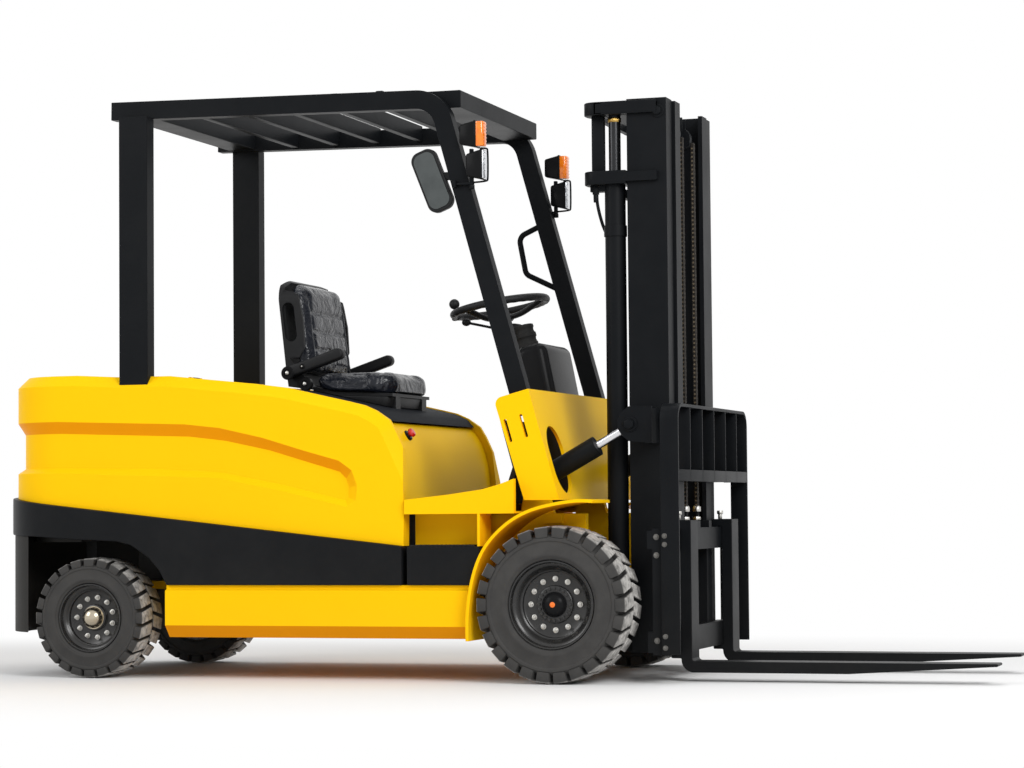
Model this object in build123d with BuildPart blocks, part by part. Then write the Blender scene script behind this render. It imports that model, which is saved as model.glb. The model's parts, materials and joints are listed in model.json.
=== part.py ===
from build123d import *
import os
from math import cos, hypot, pi, radians, sin

os.makedirs("parts", exist_ok=True)

# Driving dimensions of the truck, millimetres, +X forward, +Z up
wheelbase = 1824
rear_overhang = 426
fork_reach = 1530
front_track = 1023
rear_track = 955
front_tyre_r = 280
front_tyre_w = 224
front_rim_r = 158
rear_tyre_r = 225
rear_tyre_w = 181
rear_rim_r = 129
body_half_width = 585
corner_r = 300
cover_inset = 20
cover_wall = 60
guard_top_z = 2168
mast_height = 2100
mast_half_width = 332
mast_reach = 366
carriage_half_width = 520
fork_width = 110
fork_centre_y = 317
fork_thick = 40

# Clearances
fit_gap = 0.05
seat_gap = 0.3
move_gap = 6
steer_gap = 12

# Stations along the truck
total_length = rear_overhang + wheelbase + fork_reach
rear_face_x = -total_length / 2
fork_tip_x = total_length / 2
rear_axle_x = rear_face_x + rear_overhang
front_axle_x = rear_axle_x + wheelbase
front_wheel_y = front_track / 2
rear_wheel_y = rear_track / 2
mast_front_x = front_axle_x + mast_reach
guard_half_width = body_half_width - 70


def from_front(*points):
    return [(front_axle_x + x, z) for x, z in points]


def from_rear(*points):
    return [(rear_axle_x + x, z) for x, z in points]


def block(x0, x1, y0, y1, z0, z1, mode=Mode.ADD):
    with Locations(((x0 + x1) / 2, (y0 + y1) / 2, (z0 + z1) / 2)):
        Box(x1 - x0, y1 - y0, z1 - z0, mode=mode)


def side_block(side, x0, x1, y0, y1, z0, z1, mode=Mode.ADD):
    low, high = sorted((side * y0, side * y1))
    block(x0, x1, low, high, z0, z1, mode)


def mirrored_blocks(x0, x1, y0, y1, z0, z1, mode=Mode.ADD):
    for side in (-1, 1):
        side_block(side, x0, x1, y0, y1, z0, z1, mode)


def body_plan(inset, front_x, z):
    length = front_x - rear_face_x - inset
    with BuildSketch(Plane.XY.offset(z), mode=Mode.PRIVATE) as plan:
        with Locations((front_x - length / 2, 0)):
            Rectangle(length, 2 * (body_half_width - inset))
        fillet(plan.vertices().group_by(Axis.X)[0], corner_r - inset)
    return plan.sketch


def side_face(points, y):
    with BuildSketch(Plane.XZ.offset(-y), mode=Mode.PRIVATE) as face:
        with BuildLine():
            Polyline(*points, close=True)
        make_face()
    return face.sketch


def side_plate(points, y, thick, mode=Mode.ADD):
    extrude(side_face(points, y), amount=thick / 2, both=True, mode=mode)


def round_bar(centre, axis, radius, length, mode=Mode.ADD):
    with Locations(Plane(centre, z_dir=axis)):
        Cylinder(radius, length, mode=mode)


# Body levels in the side view
kingpin_y = rear_wheel_y - 137.5
sweep_r = hypot(rear_tyre_r, rear_wheel_y - kingpin_y + rear_tyre_w / 2) + steer_gap
skirt_rear_x = rear_axle_x + sweep_r - 10
skirt_front_x = front_axle_x - front_tyre_r - 38
skirt_bottom_z = 155
band_bottom_z = 348
skirt_inner_y = body_half_width - 115
band_front_x = front_axle_x - 568
band_front_z = 489
band_slope = 0.1137
band_rear_z = band_front_z + band_slope * (band_front_x - rear_face_x)
floor_z = 2 * front_tyre_r + 95
floor_thick = 15
sill_outer_y = body_half_width - 5
sill_inner_y = sill_outer_y - 25
sill_rear_x = band_front_x + 8
sill_front_x = front_axle_x - 144
sill_bottom_z = floor_z - 52
step_rear_x = band_front_x + 18
step_front_x = front_axle_x - 272
step_top_z = band_front_z - 2
step_inner_y = body_half_width - 135
cover_outer_y = body_half_width - cover_inset
cover_inner_y = cover_outer_y - cover_wall
arch_top_z = 2 * rear_tyre_r + 61
post_base_z = 1126

# Front leg line shared by the guard and the cowl
leg_lean = 0.28
rail_depth = 68
leg_depth = rail_depth * hypot(1, leg_lean)
leg_width = 50
cowl_top_z = 1048
dash_bottom_z = cowl_top_z - 3
leg_front_x = front_axle_x - 113
leg_foot_z = cowl_top_z - 88


def leg_x(z, back=0):
    return leg_front_x - back - leg_lean * (z - cowl_top_z)


leg_zone_z = (guard_top_z - 868, guard_top_z - 118)
leg_zone = [
    (leg_x(leg_zone_z[1], leg_depth + seat_gap), leg_zone_z[1]),
    (leg_x(leg_zone_z[1], -seat_gap), leg_zone_z[1]),
    (leg_x(leg_zone_z[0], -seat_gap), leg_zone_z[0]),
    (leg_x(leg_zone_z[0], leg_depth + seat_gap), leg_zone_z[0]),
]


def clear_of_legs():
    extrude(side_face(leg_zone, 0), amount=body_half_width, both=True, mode=Mode.SUBTRACT)


# Frame side plates and tilt cylinder pins
plate_thick = 32
plate_outer_y = front_wheel_y - front_tyre_w / 2 - 33.5
plate_mid_y = plate_outer_y - plate_thick / 2
tilt_y = plate_outer_y + 44
tilt_rear = (front_axle_x - 130, floor_z + 50)
tilt_front = (front_axle_x + 251, floor_z + 262)
tilt_pin_r = 14
eye_pin_r = 13
eye_bore_r = 19
tilt_barrel_r = 37
tilt_rod_r = 15
tilt_eye_w = 44

# Mast sections
flange = 16
outer_depth = 148
outer_width = 82
inner_depth = 136
inner_width = 72
mast_run = 10
outer_rear_x = mast_front_x - outer_depth
outer_inner_y = mast_half_width - outer_width
inner_outer_y = outer_inner_y - mast_run
inner_inner_y = inner_outer_y - inner_width
inner_front_x = mast_front_x + 10
inner_rear_x = inner_front_x - inner_depth
rail_bottom_z = 100
pivot_x = front_axle_x + 150
pivot_z = front_tyre_r
pivot_pin_r = 20
lug_y = inner_outer_y - 42.5
lug_thick = 23
lift_x = outer_rear_x - 57
lift_y = mast_half_width - 42
lift_barrel_r = 38
lift_rod_r = 22
shelf_z = 190
rod_bottom_z = 230
barrel_top_z = mast_height - 300
beam_top_z = mast_height - 20
chain_y = 85
chain_w = 24
chain_t = 12
sheave_r = 45
sheave_x = inner_rear_x + 68
sheave_z = mast_height - 100
bar_rear_x = inner_front_x + 8
bar_front_x = bar_rear_x + 26
upper_bar_z = (466, 545)
lower_bar_z = (101, 191)

# Front fender line around the tyre: degrees about the axle, gap to the tyre
fender_line = [
    (202.3, 59.5),
    (185.7, 34.5),
    (173.1, 27.2),
    (157.6, 29.4),
    (141.5, 39.5),
    (127.4, 47.4),
    (112.0, 58.7),
    (99.2, 68.5),
    (87.8, 80.3),
    (77.1, 99.6),
    (66.7, 121.8),
]
fender_thick = 12
fender_points = [
    (
        front_axle_x + (front_tyre_r + gap) * cos(radians(turn)),
        front_tyre_r + (front_tyre_r + gap) * sin(radians(turn)),
    )
    for turn, gap in fender_line
]


def inward(points, thick):
    shifted = []
    for i, p in enumerate(points):
        a = points[max(i - 1, 0)]
        b = points[min(i + 1, len(points) - 1)]
        run = hypot(b[0] - a[0], b[1] - a[1])
        shifted.append((p[0] + thick * (b[1] - a[1]) / run, p[1] - thick * (b[0] - a[0]) / run))
    return shifted


fender_zone = [
    *inward(fender_points, -move_gap),
    (front_axle_x + 240, fender_points[-1][1]),
    (front_axle_x + 240, skirt_bottom_z - 55),
    (fender_points[0][0] - move_gap, skirt_bottom_z - 55),
]

# Frame: skirts, tray, front side plates, sills and rear beam
tray_z = (skirt_bottom_z + 20, skirt_bottom_z + 45)
plate_top_z = floor_z - 55
beam_y = 140
with BuildPart() as frame:
    for side in (-1, 1):
        with BuildSketch(Plane.YZ.offset(skirt_rear_x)):
            with BuildLine():
                Polyline(
                    (side * skirt_inner_y, skirt_bottom_z),
                    (side * (body_half_width - 40), skirt_bottom_z),
                    (side * body_half_width, skirt_bottom_z + 45),
                    (side * body_half_width, band_bottom_z - 20),
                    (side * (body_half_width - 14), band_bottom_z - 14),
                    (side * (body_half_width - 14), band_bottom_z),
                    (side * skirt_inner_y, band_bottom_z),
                    close=True,
                )
            make_face()
        extrude(amount=skirt_front_x - skirt_rear_x)
    block(skirt_rear_x + 22, skirt_front_x, -skirt_inner_y, skirt_inner_y, *tray_z)
    mirrored_blocks(skirt_front_x - 40, front_axle_x + 60, plate_outer_y - plate_thick, plate_outer_y, tray_z[0],
                    plate_top_z)
    block(skirt_front_x - 40, skirt_front_x - 15, -step_inner_y, step_inner_y, tray_z[1], plate_top_z)
    pin_end_y = tilt_y + tilt_eye_w / 2 + 8
    pin_start_y = plate_outer_y - plate_thick
    for side in (-1, 1):
        ear = [
            (tilt_rear[0] - 60, plate_top_z - 10),
            (tilt_rear[0] + 70, plate_top_z - 10),
            (tilt_rear[0] + 32, tilt_rear[1] + 32),
            (tilt_rear[0] - 32, tilt_rear[1] + 32),
        ]
        side_plate(ear, side * plate_mid_y, plate_thick)
        round_bar((tilt_rear[0], side * (pin_start_y + pin_end_y) / 2, tilt_rear[1]), (0, 1, 0), tilt_pin_r - fit_gap,
                  pin_end_y - pin_start_y)
        round_bar((front_axle_x, side * plate_mid_y, front_tyre_r), (0, 1, 0), 75, plate_thick + 2, Mode.SUBTRACT)
        sill = [
            (sill_rear_x, sill_bottom_z),
            (sill_front_x, sill_bottom_z),
            (sill_front_x, floor_z + 72),
            (sill_front_x - 56, floor_z + 52),
            (sill_front_x - 119, floor_z + 35),
            (sill_front_x - 244, floor_z + 18),
            (sill_rear_x, floor_z),
        ]
        side_plate(sill, side * (sill_inner_y + sill_outer_y) / 2, sill_outer_y - sill_inner_y)
    mirrored_blocks(sill_rear_x, sill_front_x, step_inner_y, sill_inner_y, sill_bottom_z, sill_bottom_z + 8)
    mirrored_blocks(sill_rear_x, step_front_x, step_inner_y, step_inner_y + 10, step_top_z, sill_bottom_z + 8)
    mirrored_blocks(step_front_x - 10, step_front_x, step_inner_y, sill_outer_y, step_top_z, sill_bottom_z + 8)
    block(rear_axle_x - 90, skirt_rear_x + 22, -beam_y, beam_y, 320, 350)
    block(skirt_rear_x + 22, skirt_rear_x + 47, -beam_y, beam_y, tray_z[1], 350)
    block(skirt_rear_x + 22, skirt_rear_x + 47, -skirt_inner_y, skirt_inner_y, tray_z[1], 320)

# Lower edge of the band over the rear wheel, side view
arch_line = [
    *from_rear((326, band_bottom_z), (296, 404), (251, 452), (180, 497), (119, arch_top_z), (-43, 518), (-210, 529)),
    (rear_face_x - 20, band_rear_z - 143),
]
above_arch = arch_line[4:] + [(rear_face_x - 20, band_rear_z), (arch_line[4][0], band_rear_z)]

# Counterweight: lower casting behind the wheels and its core under the cover
low_bottom_z = 169
core_front_x = rear_face_x + corner_r + 66
core_top_z = 1020
tow_bore_r = 20
tow_depth = 80
tow_top_z = 430
with BuildPart() as counterweight:
    low_top_z = band_rear_z - 100
    extrude(body_plan(8, rear_face_x + corner_r + 86, low_bottom_z), amount=low_top_z - low_bottom_z)
    extrude(side_face(above_arch, 0), amount=body_half_width, both=True, mode=Mode.SUBTRACT)
    for side in (-1, 1):
        with Locations((rear_axle_x, side * kingpin_y, low_top_z / 2)):
            Cylinder(sweep_r, low_top_z, mode=Mode.SUBTRACT)
    block(rear_axle_x - 240, rear_axle_x + 400, -kingpin_y - 60, kingpin_y + 60, 160, low_top_z, Mode.SUBTRACT)
    core_bottom_z = arch_top_z - 3
    extrude(body_plan(cover_inset + cover_wall + 1, core_front_x, core_bottom_z), amount=core_top_z - core_bottom_z)
    block(core_front_x, core_front_x + 170, -cover_inner_y + 85, cover_inner_y - 85, 560, 900)
    block(core_front_x - 120, core_front_x + 60, -beam_y, beam_y, 350, 700)
    block(rear_face_x - 10, rear_face_x + 140, -70, 70, 300, 370, Mode.SUBTRACT)
    block(rear_face_x - 10, rear_face_x + 140, -45, 45, tow_top_z, tow_top_z + 80, Mode.SUBTRACT)
    round_bar((rear_face_x + tow_depth, 0, tow_top_z / 2), (0, 0, 1), tow_bore_r, tow_top_z, Mode.SUBTRACT)

# Hood hinge line at the rear edge of the hood
hinge_x = rear_axle_x + 317
hinge_z = 1118
hinge_y = 300
hinge_r = 12
hinge_pin_r = 6
hinge_length = 60
hinge_end = 20


def hinge_barrels(radius, length, mode=Mode.ADD):
    for y in (-hinge_y, hinge_y):
        round_bar((hinge_x, y, hinge_z), (0, 1, 0), radius, length, mode)


def hinge_ends(radius, length, mode=Mode.ADD):
    reach = hinge_length / 2 + seat_gap + hinge_end / 2
    for y in (-hinge_y - reach, -hinge_y + reach, hinge_y - reach, hinge_y + reach):
        round_bar((hinge_x, y, hinge_z), (0, 1, 0), radius, length, mode)


# Body cover: one moulding around the rear and both sides, with a recess along it
cover_rear_top_z = 1136
cover_top = [
    (rear_face_x - 20, cover_rear_top_z),
    (rear_face_x + corner_r + 60, cover_rear_top_z),
    (rear_axle_x + 114, post_base_z),
    (hinge_x, post_base_z),
    *from_front((-1160, 1089), (-1033, 1072), (-912, 1044), (-793, 1017), (-732, 1002), (-685, 981), (-635, 947)),
    *from_front((-610, 905), (-582, 845), (-569, 729), (-566, 600)),
    (band_front_x, band_front_z),
]
cover_edge = 40
groove_depth = 28
groove_end_x = rear_face_x + corner_r
groove_rim = [(groove_end_x, 961)] + from_front(
    (-1431, 943), (-1290, 927), (-1118, 888), (-953, 838), (-817, 800), (-767, 764), (-746, 709), (-751, 654),
    (-785, 631), (-1040, 692), (-1298, 743), (-1562, 753)) + [(groove_end_x, 768)]
groove_floor = [(groove_end_x, 917)] + from_front(
    (-1423, 898), (-1275, 880), (-1098, 842), (-935, 793), (-822, 760), (-798, 735), (-788, 702), (-790, 664),
    (-800, 655), (-1040, 713), (-1298, 764), (-1562, 779)) + [(groove_end_x, 787)]

with BuildPart() as body_cover:
    extrude(body_plan(cover_inset, skirt_front_x, band_front_z - 10), amount=1200 - band_front_z)
    cover_side = [*cover_top, (rear_face_x - 20, band_rear_z + 2.3)]
    extrude(side_face(cover_side, 0), amount=body_half_width + 50, both=True, mode=Mode.INTERSECT)
    rim = ShapeList()
    for face in body_cover.faces().filter_by(lambda f: f.normal_at().Z > 0.3):
        for edge in face.edges():
            on_side = abs(abs(edge.center().Y) - cover_outer_y) < 1
            if on_side or edge.center().X < groove_end_x - 1:
                rim.append(edge)
    chamfer(rim, cover_edge)
    extrude(body_plan(cover_inset + cover_wall, skirt_front_x + 1, band_front_z - 20), amount=1105 - band_front_z,
            mode=Mode.SUBTRACT)
    block(hinge_x - 3, skirt_front_x + 10, -cover_inner_y, cover_inner_y, 1000, 1300, Mode.SUBTRACT)
    hinge_barrels(hinge_r + 2, hinge_length + 2 * seat_gap, Mode.SUBTRACT)
    hinge_ends(hinge_r, hinge_end)
    hinge_barrels(hinge_pin_r - fit_gap, hinge_length + 2 * hinge_end)
    for side in (-1, 1):
        with BuildSketch(Plane.XZ.offset(-side * (cover_outer_y - groove_depth))):
            with BuildLine():
                Polyline(*groove_floor, close=True)
            make_face()
        with BuildSketch(Plane.XZ.offset(-side * cover_outer_y)):
            with BuildLine():
                Polyline(*groove_rim, close=True)
            make_face()
        loft(ruled=True, mode=Mode.SUBTRACT)
        corner_y = side * (body_half_width - corner_r)
        with BuildSketch(Plane.YZ.offset(groove_end_x)):
            with BuildLine():
                Polyline(
                    (side * (cover_outer_y - groove_depth), groove_floor[0][1]),
                    (side * cover_outer_y, groove_rim[0][1]),
                    (side * cover_outer_y, groove_rim[-1][1]),
                    (side * (cover_outer_y - groove_depth), groove_floor[-1][1]),
                    close=True,
                )
            make_face()
        revolve(axis=Axis((groove_end_x, corner_y, 0), (0, 0, side)), revolution_arc=90, mode=Mode.SUBTRACT)
    groove_rear_x = rear_face_x + cover_inset
    rear_groove = [
        (groove_rear_x + groove_depth, groove_floor[0][1]),
        (groove_rear_x, groove_rim[0][1]),
        (groove_rear_x, groove_rim[-1][1]),
        (groove_rear_x + groove_depth, groove_floor[-1][1]),
    ]
    side_plate(rear_groove, 0, 2 * (body_half_width - corner_r), Mode.SUBTRACT)

# Lower band with the rear arches, and the step blocks ahead of it
band_points = [
    (rear_face_x - 20, band_rear_z + 2.3),
    (band_front_x, band_front_z),
    (band_front_x, band_bottom_z),
    *arch_line,
]
with BuildPart() as body_band:
    extrude(body_plan(0, band_front_x, band_bottom_z), amount=band_rear_z + 70 - band_bottom_z)
    extrude(body_plan(cover_wall + cover_inset, skirt_front_x, band_bottom_z - 5), amount=band_rear_z + 90 - band_bottom_z,
            mode=Mode.SUBTRACT)
    extrude(side_face(band_points, 0), amount=body_half_width + 50, both=True, mode=Mode.INTERSECT)
    mirrored_blocks(step_rear_x, step_front_x, step_inner_y, body_half_width, band_bottom_z, step_top_z)
    extrude(side_face(fender_zone, 0), amount=front_wheel_y + front_tyre_w, both=True, mode=Mode.SUBTRACT)

# Seat box front panel
box_front = from_front((-670, 940), (-632, 890), (-607, 830), (-592, 750), (-584, floor_z))
box_wall = 20
with BuildPart() as seat_box:
    with BuildSketch(Plane.XZ):
        with BuildLine():
            Spline(*box_front)
            Line(box_front[-1], (box_front[-1][0] - box_wall, floor_z))
            Spline(*[(x - box_wall, z) for x, z in reversed(box_front)])
            Line((box_front[0][0] - box_wall, box_front[0][1]), box_front[0])
        make_face()
    extrude(amount=cover_inner_y, both=True)

# Floor with toe board and pedals
with BuildPart() as floor:
    block(sill_rear_x, front_axle_x - 210, -sill_inner_y, sill_inner_y, floor_z - floor_thick, floor_z)
    block(box_front[-1][0], sill_rear_x, -cover_inner_y, cover_inner_y, floor_z - floor_thick, floor_z)
    toe_board = [
        *from_front((-230, floor_z - floor_thick), (-210, floor_z - floor_thick), (-168, floor_z + 115)),
        *from_front((-217, floor_z + 285), (-233, floor_z + 285), (-186, floor_z + 115)),
    ]
    side_plate(toe_board, 0, 2 * (guard_half_width - leg_width - 5))
    block(front_axle_x - 300, front_axle_x - 220, -150, -80, floor_z + 35, floor_z + 47)
    block(front_axle_x - 240, front_axle_x - 192, -125, -105, floor_z + 35, floor_z + 47)
    block(front_axle_x - 300, front_axle_x - 220, 70, 170, floor_z + 45, floor_z + 57)
    block(front_axle_x - 240, front_axle_x - 192, 110, 130, floor_z + 45, floor_z + 57)

# Front fenders
fender_inner = inward(fender_points, fender_thick)
with BuildPart() as fenders:
    for side in (-1, 1):
        with BuildSketch(Plane.XZ.offset(-side * (front_wheel_y - 1))):
            with BuildLine():
                Spline(*fender_points)
                Line(fender_points[-1], fender_inner[-1])
                Spline(*reversed(fender_inner))
                Line(fender_inner[0], fender_points[0])
            make_face()
        extrude(amount=front_tyre_w / 2 + 2, both=True)
    mirrored_blocks(front_axle_x - 90, front_axle_x - 20, plate_outer_y, front_wheel_y - front_tyre_w / 2,
                    plate_top_z - 35, plate_top_z + 2)

# Front cowl
cowl_plate = 20
cowl_skin = 12
cowl_bottom_z = floor_z - 5
cowl_slots = ((119, cowl_top_z - 149), (55, cowl_top_z - 132))
slot_size = (86, 12)
with BuildPart() as cowl:
    for side in (-1, 1):
        with BuildSketch(Plane.XZ.offset(-side * (guard_half_width + cowl_plate / 2))) as cheek:
            with BuildLine():
                Polyline(
                    (leg_x(1014, -cowl_skin) - 140, 1014),
                    (leg_x(cowl_bottom_z, -cowl_skin) - 130, cowl_bottom_z),
                    (leg_x(cowl_bottom_z, -cowl_skin), cowl_bottom_z),
                    (leg_x(cowl_top_z, -cowl_skin), cowl_top_z),
                    close=True,
                )
            make_face()
            fillet(cheek.vertices().sort_by(Axis.X)[0], 28)
            for back, z in cowl_slots:
                with Locations((leg_x(z, back - cowl_skin), z)):
                    SlotOverall(*slot_size, rotation=106, mode=Mode.SUBTRACT)
        extrude(amount=cowl_plate / 2, both=True)
    front_skin = [
        (leg_x(cowl_bottom_z), cowl_bottom_z),
        (leg_x(cowl_bottom_z, -cowl_skin), cowl_bottom_z),
        (leg_x(cowl_top_z, -cowl_skin), cowl_top_z),
        (leg_x(cowl_top_z), cowl_top_z),
    ]
    side_plate(front_skin, 0, 2 * guard_half_width)
    for side in (-1, 1):
        with BuildSketch(Plane.YZ.offset(front_axle_x - 160)):
            with Locations((side * (tilt_y - 15), floor_z + 140)):
                SlotOverall(245, 180, rotation=90)
        extrude(amount=250, mode=Mode.SUBTRACT)

# Instrument cover and steering column
wheel_tilt = 10
wheel_centre = (front_axle_x - 379, 0, 1385)
wheel_axis = (-sin(radians(wheel_tilt)), 0, cos(radians(wheel_tilt)))
wheel_r = 178
grip_r = 13
dash_top_z = dash_bottom_z + 196
dash_edge_r = 42


def on_wheel_axis(d):
    return (wheel_centre[0] + d * wheel_axis[0], 0, wheel_centre[2] + d * wheel_axis[2])


with BuildPart() as dash:
    dash_side = [
        *from_front((-270, dash_bottom_z)),
        (leg_x(dash_bottom_z, seat_gap), dash_bottom_z),
        *from_front((-152, dash_top_z), (-250, dash_top_z - 14), (-283, dash_top_z - 70)),
    ]
    side_plate(dash_side, 0, 360)
    fillet(dash.edges().filter_by(Axis.Y, reverse=True), dash_edge_r)
    round_bar((front_axle_x - 300, 0, 1264), (-110, 0, 145), 34, 150)
    round_bar((front_axle_x - 266, 0, dash_top_z + 22), (-71, 0, 120), 42, 90)
    round_bar(on_wheel_axis(-49 - seat_gap), wheel_axis, 26, 60)

# Steering wheel
with BuildPart() as steering_wheel:
    with Locations(Plane(wheel_centre, x_dir=(0, 1, 0), z_dir=wheel_axis)):
        Torus(wheel_r, grip_r)
        Cylinder(34, 38)
        with PolarLocations(wheel_r * 0.55, 3, start_angle=90):
            Box(wheel_r * 0.79, 22, 10)
        with Locations((0, wheel_r, 22)):
            Cylinder(7, 40)
        with Locations((0, wheel_r, 48)):
            Sphere(20)

# Overhead guard side frames
rail_rear_x = rear_axle_x + 72
rail_mid_z = guard_top_z - rail_depth / 2
rail_front_z = rail_mid_z - 22
post_x = (rear_axle_x + 124, rear_axle_x + 240)
post_y = (cover_outer_y - 68, cover_outer_y - 8)
rail_y = guard_half_width - leg_width / 2
with BuildPart() as guard_sides:
    for side in (-1, 1):
        with BuildLine(Plane.XZ.offset(-side * rail_y)) as run:
            FilletPolyline(
                (rail_rear_x, rail_mid_z),
                (leg_x(rail_front_z, leg_depth / 2), rail_front_z),
                (leg_x(leg_foot_z, leg_depth / 2), leg_foot_z),
                radius=110,
            )
        with BuildSketch(Plane(run.line @ 0, x_dir=(0, 1, 0), z_dir=run.line % 0)):
            Rectangle(leg_width, rail_depth)
        sweep(path=run.line)
        with BuildSketch(Plane.YZ.offset(post_x[0])):
            with BuildLine():
                Polyline(
                    (side * post_y[0], post_base_z),
                    (side * (cover_outer_y - cover_edge), post_base_z),
                    (side * post_y[1], post_base_z - cover_edge + cover_outer_y - post_y[1]),
                    (side * post_y[1], guard_top_z - rail_depth + 2),
                    (side * post_y[0], guard_top_z - rail_depth + 2),
                    close=True,
                )
            make_face()
        extrude(amount=post_x[1] - post_x[0])

# Overhead guard roof: beams and slats
slat_count = 5
slat_width = 30
slat_half = guard_half_width - leg_width
beam_front_x = leg_x(guard_top_z - 85) + 31
beam_rear_x = beam_front_x - 138
with BuildPart() as guard_roof:
    block(beam_rear_x, beam_front_x, -slat_half, slat_half, guard_top_z - 85, guard_top_z - 20)
    block(*post_x, -slat_half, slat_half, guard_top_z - 66, guard_top_z - 6)
    pitch = (beam_rear_x - post_x[1]) / (slat_count + 1)
    for i in range(slat_count):
        slat_x = post_x[1] + pitch * (i + 1)
        block(slat_x - slat_width / 2, slat_x + slat_width / 2, -slat_half, slat_half, guard_top_z - rail_depth,
              guard_top_z - 6)

# Lamps on both front legs
lamp_y = guard_half_width + 5
lamp_half = 28
signal_z = guard_top_z - 246
signal_x = leg_x(signal_z) + 2
work_z = signal_z - 110
work_x = leg_x(work_z) + 17
lamp_height = 102
with BuildPart() as lamps:
    for side in (-1, 1):
        side_block(side, signal_x, signal_x + 80, lamp_y - lamp_half, lamp_y + lamp_half, signal_z, signal_z + lamp_height)
        side_block(side, work_x, work_x + 50, lamp_y - lamp_half, lamp_y + lamp_half, work_z, work_z + lamp_height)
        side_block(side, work_x + 10, work_x + 26, lamp_y - 8, lamp_y + 8, work_z - 32, signal_z + 8)
        side_block(side, work_x - 50, work_x + 26, lamp_y - 12, lamp_y + 12, work_z - 16, work_z - 6)
    clear_of_legs()

with BuildPart() as lamp_lenses:
    mirrored_blocks(signal_x + 80, signal_x + 95, lamp_y - lamp_half + 4, lamp_y + lamp_half - 4, signal_z + 4,
                    signal_z + lamp_height - 4)

# Mirror on the right leg
mirror_z = guard_top_z - 353
mirror_x = leg_x(mirror_z) - 144
mirror_lean = 21.7
mirror_size = (100, 235)
with BuildPart() as mirror:
    with BuildSketch(Plane.XZ.offset(rail_y)):
        with Locations((mirror_x, mirror_z)):
            RectangleRounded(*mirror_size, 35, rotation=mirror_lean)
    extrude(amount=14, both=True)
    side_block(-1, mirror_x, leg_x(mirror_z + 15, leg_depth) + 20, rail_y - 6, rail_y + 6, mirror_z, mirror_z + 30)
    clear_of_legs()

# Grab handle on the left leg
handle_z = guard_top_z - 423
with BuildPart() as grab_handle:
    with BuildLine(Plane.XZ.offset(-rail_y)) as grip:
        FilletPolyline(
            (leg_x(handle_z, leg_depth - 20), handle_z),
            (leg_x(handle_z - 45) - 162, handle_z - 45),
            (leg_x(handle_z - 195) - 176, handle_z - 195),
            (leg_x(handle_z - 265, leg_depth - 20), handle_z - 265),
            radius=35,
        )
    with BuildSketch(Plane(grip.line @ 0, z_dir=grip.line % 0)):
        Circle(11)
    sweep(path=grip.line)
    clear_of_legs()

# Battery, a plain block
with BuildPart() as battery:
    block(rear_axle_x + 424, front_axle_x - 760, -cover_inner_y + 65, cover_inner_y - 65, tray_z[1], 810)

# Drive axle with motor, mast lugs and wheel spindles
spindle_r = 40
spindle_end_y = front_wheel_y - 41.5
lug_side = lug_thick / 2 + 24
with BuildPart() as drive_axle:
    round_bar((front_axle_x, 0, front_tyre_r), (0, 1, 0), 70, 2 * (spindle_end_y - 78))
    round_bar((front_axle_x, 0, front_tyre_r), (0, 1, 0), spindle_r - fit_gap, 2 * spindle_end_y)
    for side in (-1, 1):
        round_bar((front_axle_x, side * (plate_outer_y - plate_thick - 8), front_tyre_r), (0, 1, 0), 100, 16)
        lug = [
            (front_axle_x, pivot_z - 60),
            (pivot_x, pivot_z - 34),
            (pivot_x + 30, pivot_z - 20),
            (pivot_x + 30, pivot_z + 20),
            (pivot_x, pivot_z + 34),
            (front_axle_x, pivot_z + 60),
        ]
        for y in (lug_y - lug_side, lug_y + lug_side):
            side_plate(lug, side * y, 20)
        round_bar((pivot_x, side * lug_y, pivot_z), (0, 1, 0), pivot_pin_r - fit_gap, 90)
    with Locations((front_axle_x, 0, front_tyre_r)):
        Sphere(125)
    round_bar((front_axle_x - 170, 0, front_tyre_r + 30), (1, 0, 0), 105, 240)

# Steer axle beam with yokes
kingpin_r = 16
yoke_r = 38
yoke_thick = 35
yoke_bottom_z = rear_tyre_r - 100
yoke_top_z = rear_tyre_r + 65
beam_half_y = kingpin_y - 78
with BuildPart() as steer_axle:
    block(rear_axle_x - 50, rear_axle_x + 50, -beam_half_y, beam_half_y, rear_tyre_r - 60, rear_tyre_r + 60)
    block(rear_axle_x - 60, rear_axle_x + 60, -90, 90, rear_tyre_r + 60, 320)
    for side in (-1, 1):
        for z in (yoke_bottom_z, yoke_top_z):
            side_block(side, rear_axle_x - 34, rear_axle_x + 34, beam_half_y - 37, kingpin_y, z, z + yoke_thick)
            with Locations((rear_axle_x, side * kingpin_y, z + yoke_thick / 2)):
                Cylinder(yoke_r, yoke_thick)
                Cylinder(kingpin_r, yoke_thick + 5, mode=Mode.SUBTRACT)
        side_block(side, rear_axle_x - 34, rear_axle_x + 34, beam_half_y - 37, beam_half_y, yoke_bottom_z,
                   yoke_top_z + yoke_thick)


# Knuckles
rear_spindle_r = 30


def make_knuckle(side):
    with BuildPart() as knuckle:
        with Locations((rear_axle_x, side * kingpin_y, rear_tyre_r)):
            Cylinder(36, yoke_top_z - yoke_bottom_z - yoke_thick - 2)
            Cylinder(kingpin_r - fit_gap, yoke_top_z - yoke_bottom_z + yoke_thick + 4)
        round_bar((rear_axle_x, side * (kingpin_y + 40), rear_tyre_r), (0, 1, 0), 44, 60)
        round_bar((rear_axle_x, side * (kingpin_y + 90), rear_tyre_r), (0, 1, 0), rear_spindle_r - fit_gap, 170)
    return knuckle


knuckle_left = make_knuckle(1)
knuckle_right = make_knuckle(-1)


# Tyres with shoulder lugs, and rims
lug_share = 0.76
bore_sides = 24


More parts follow.
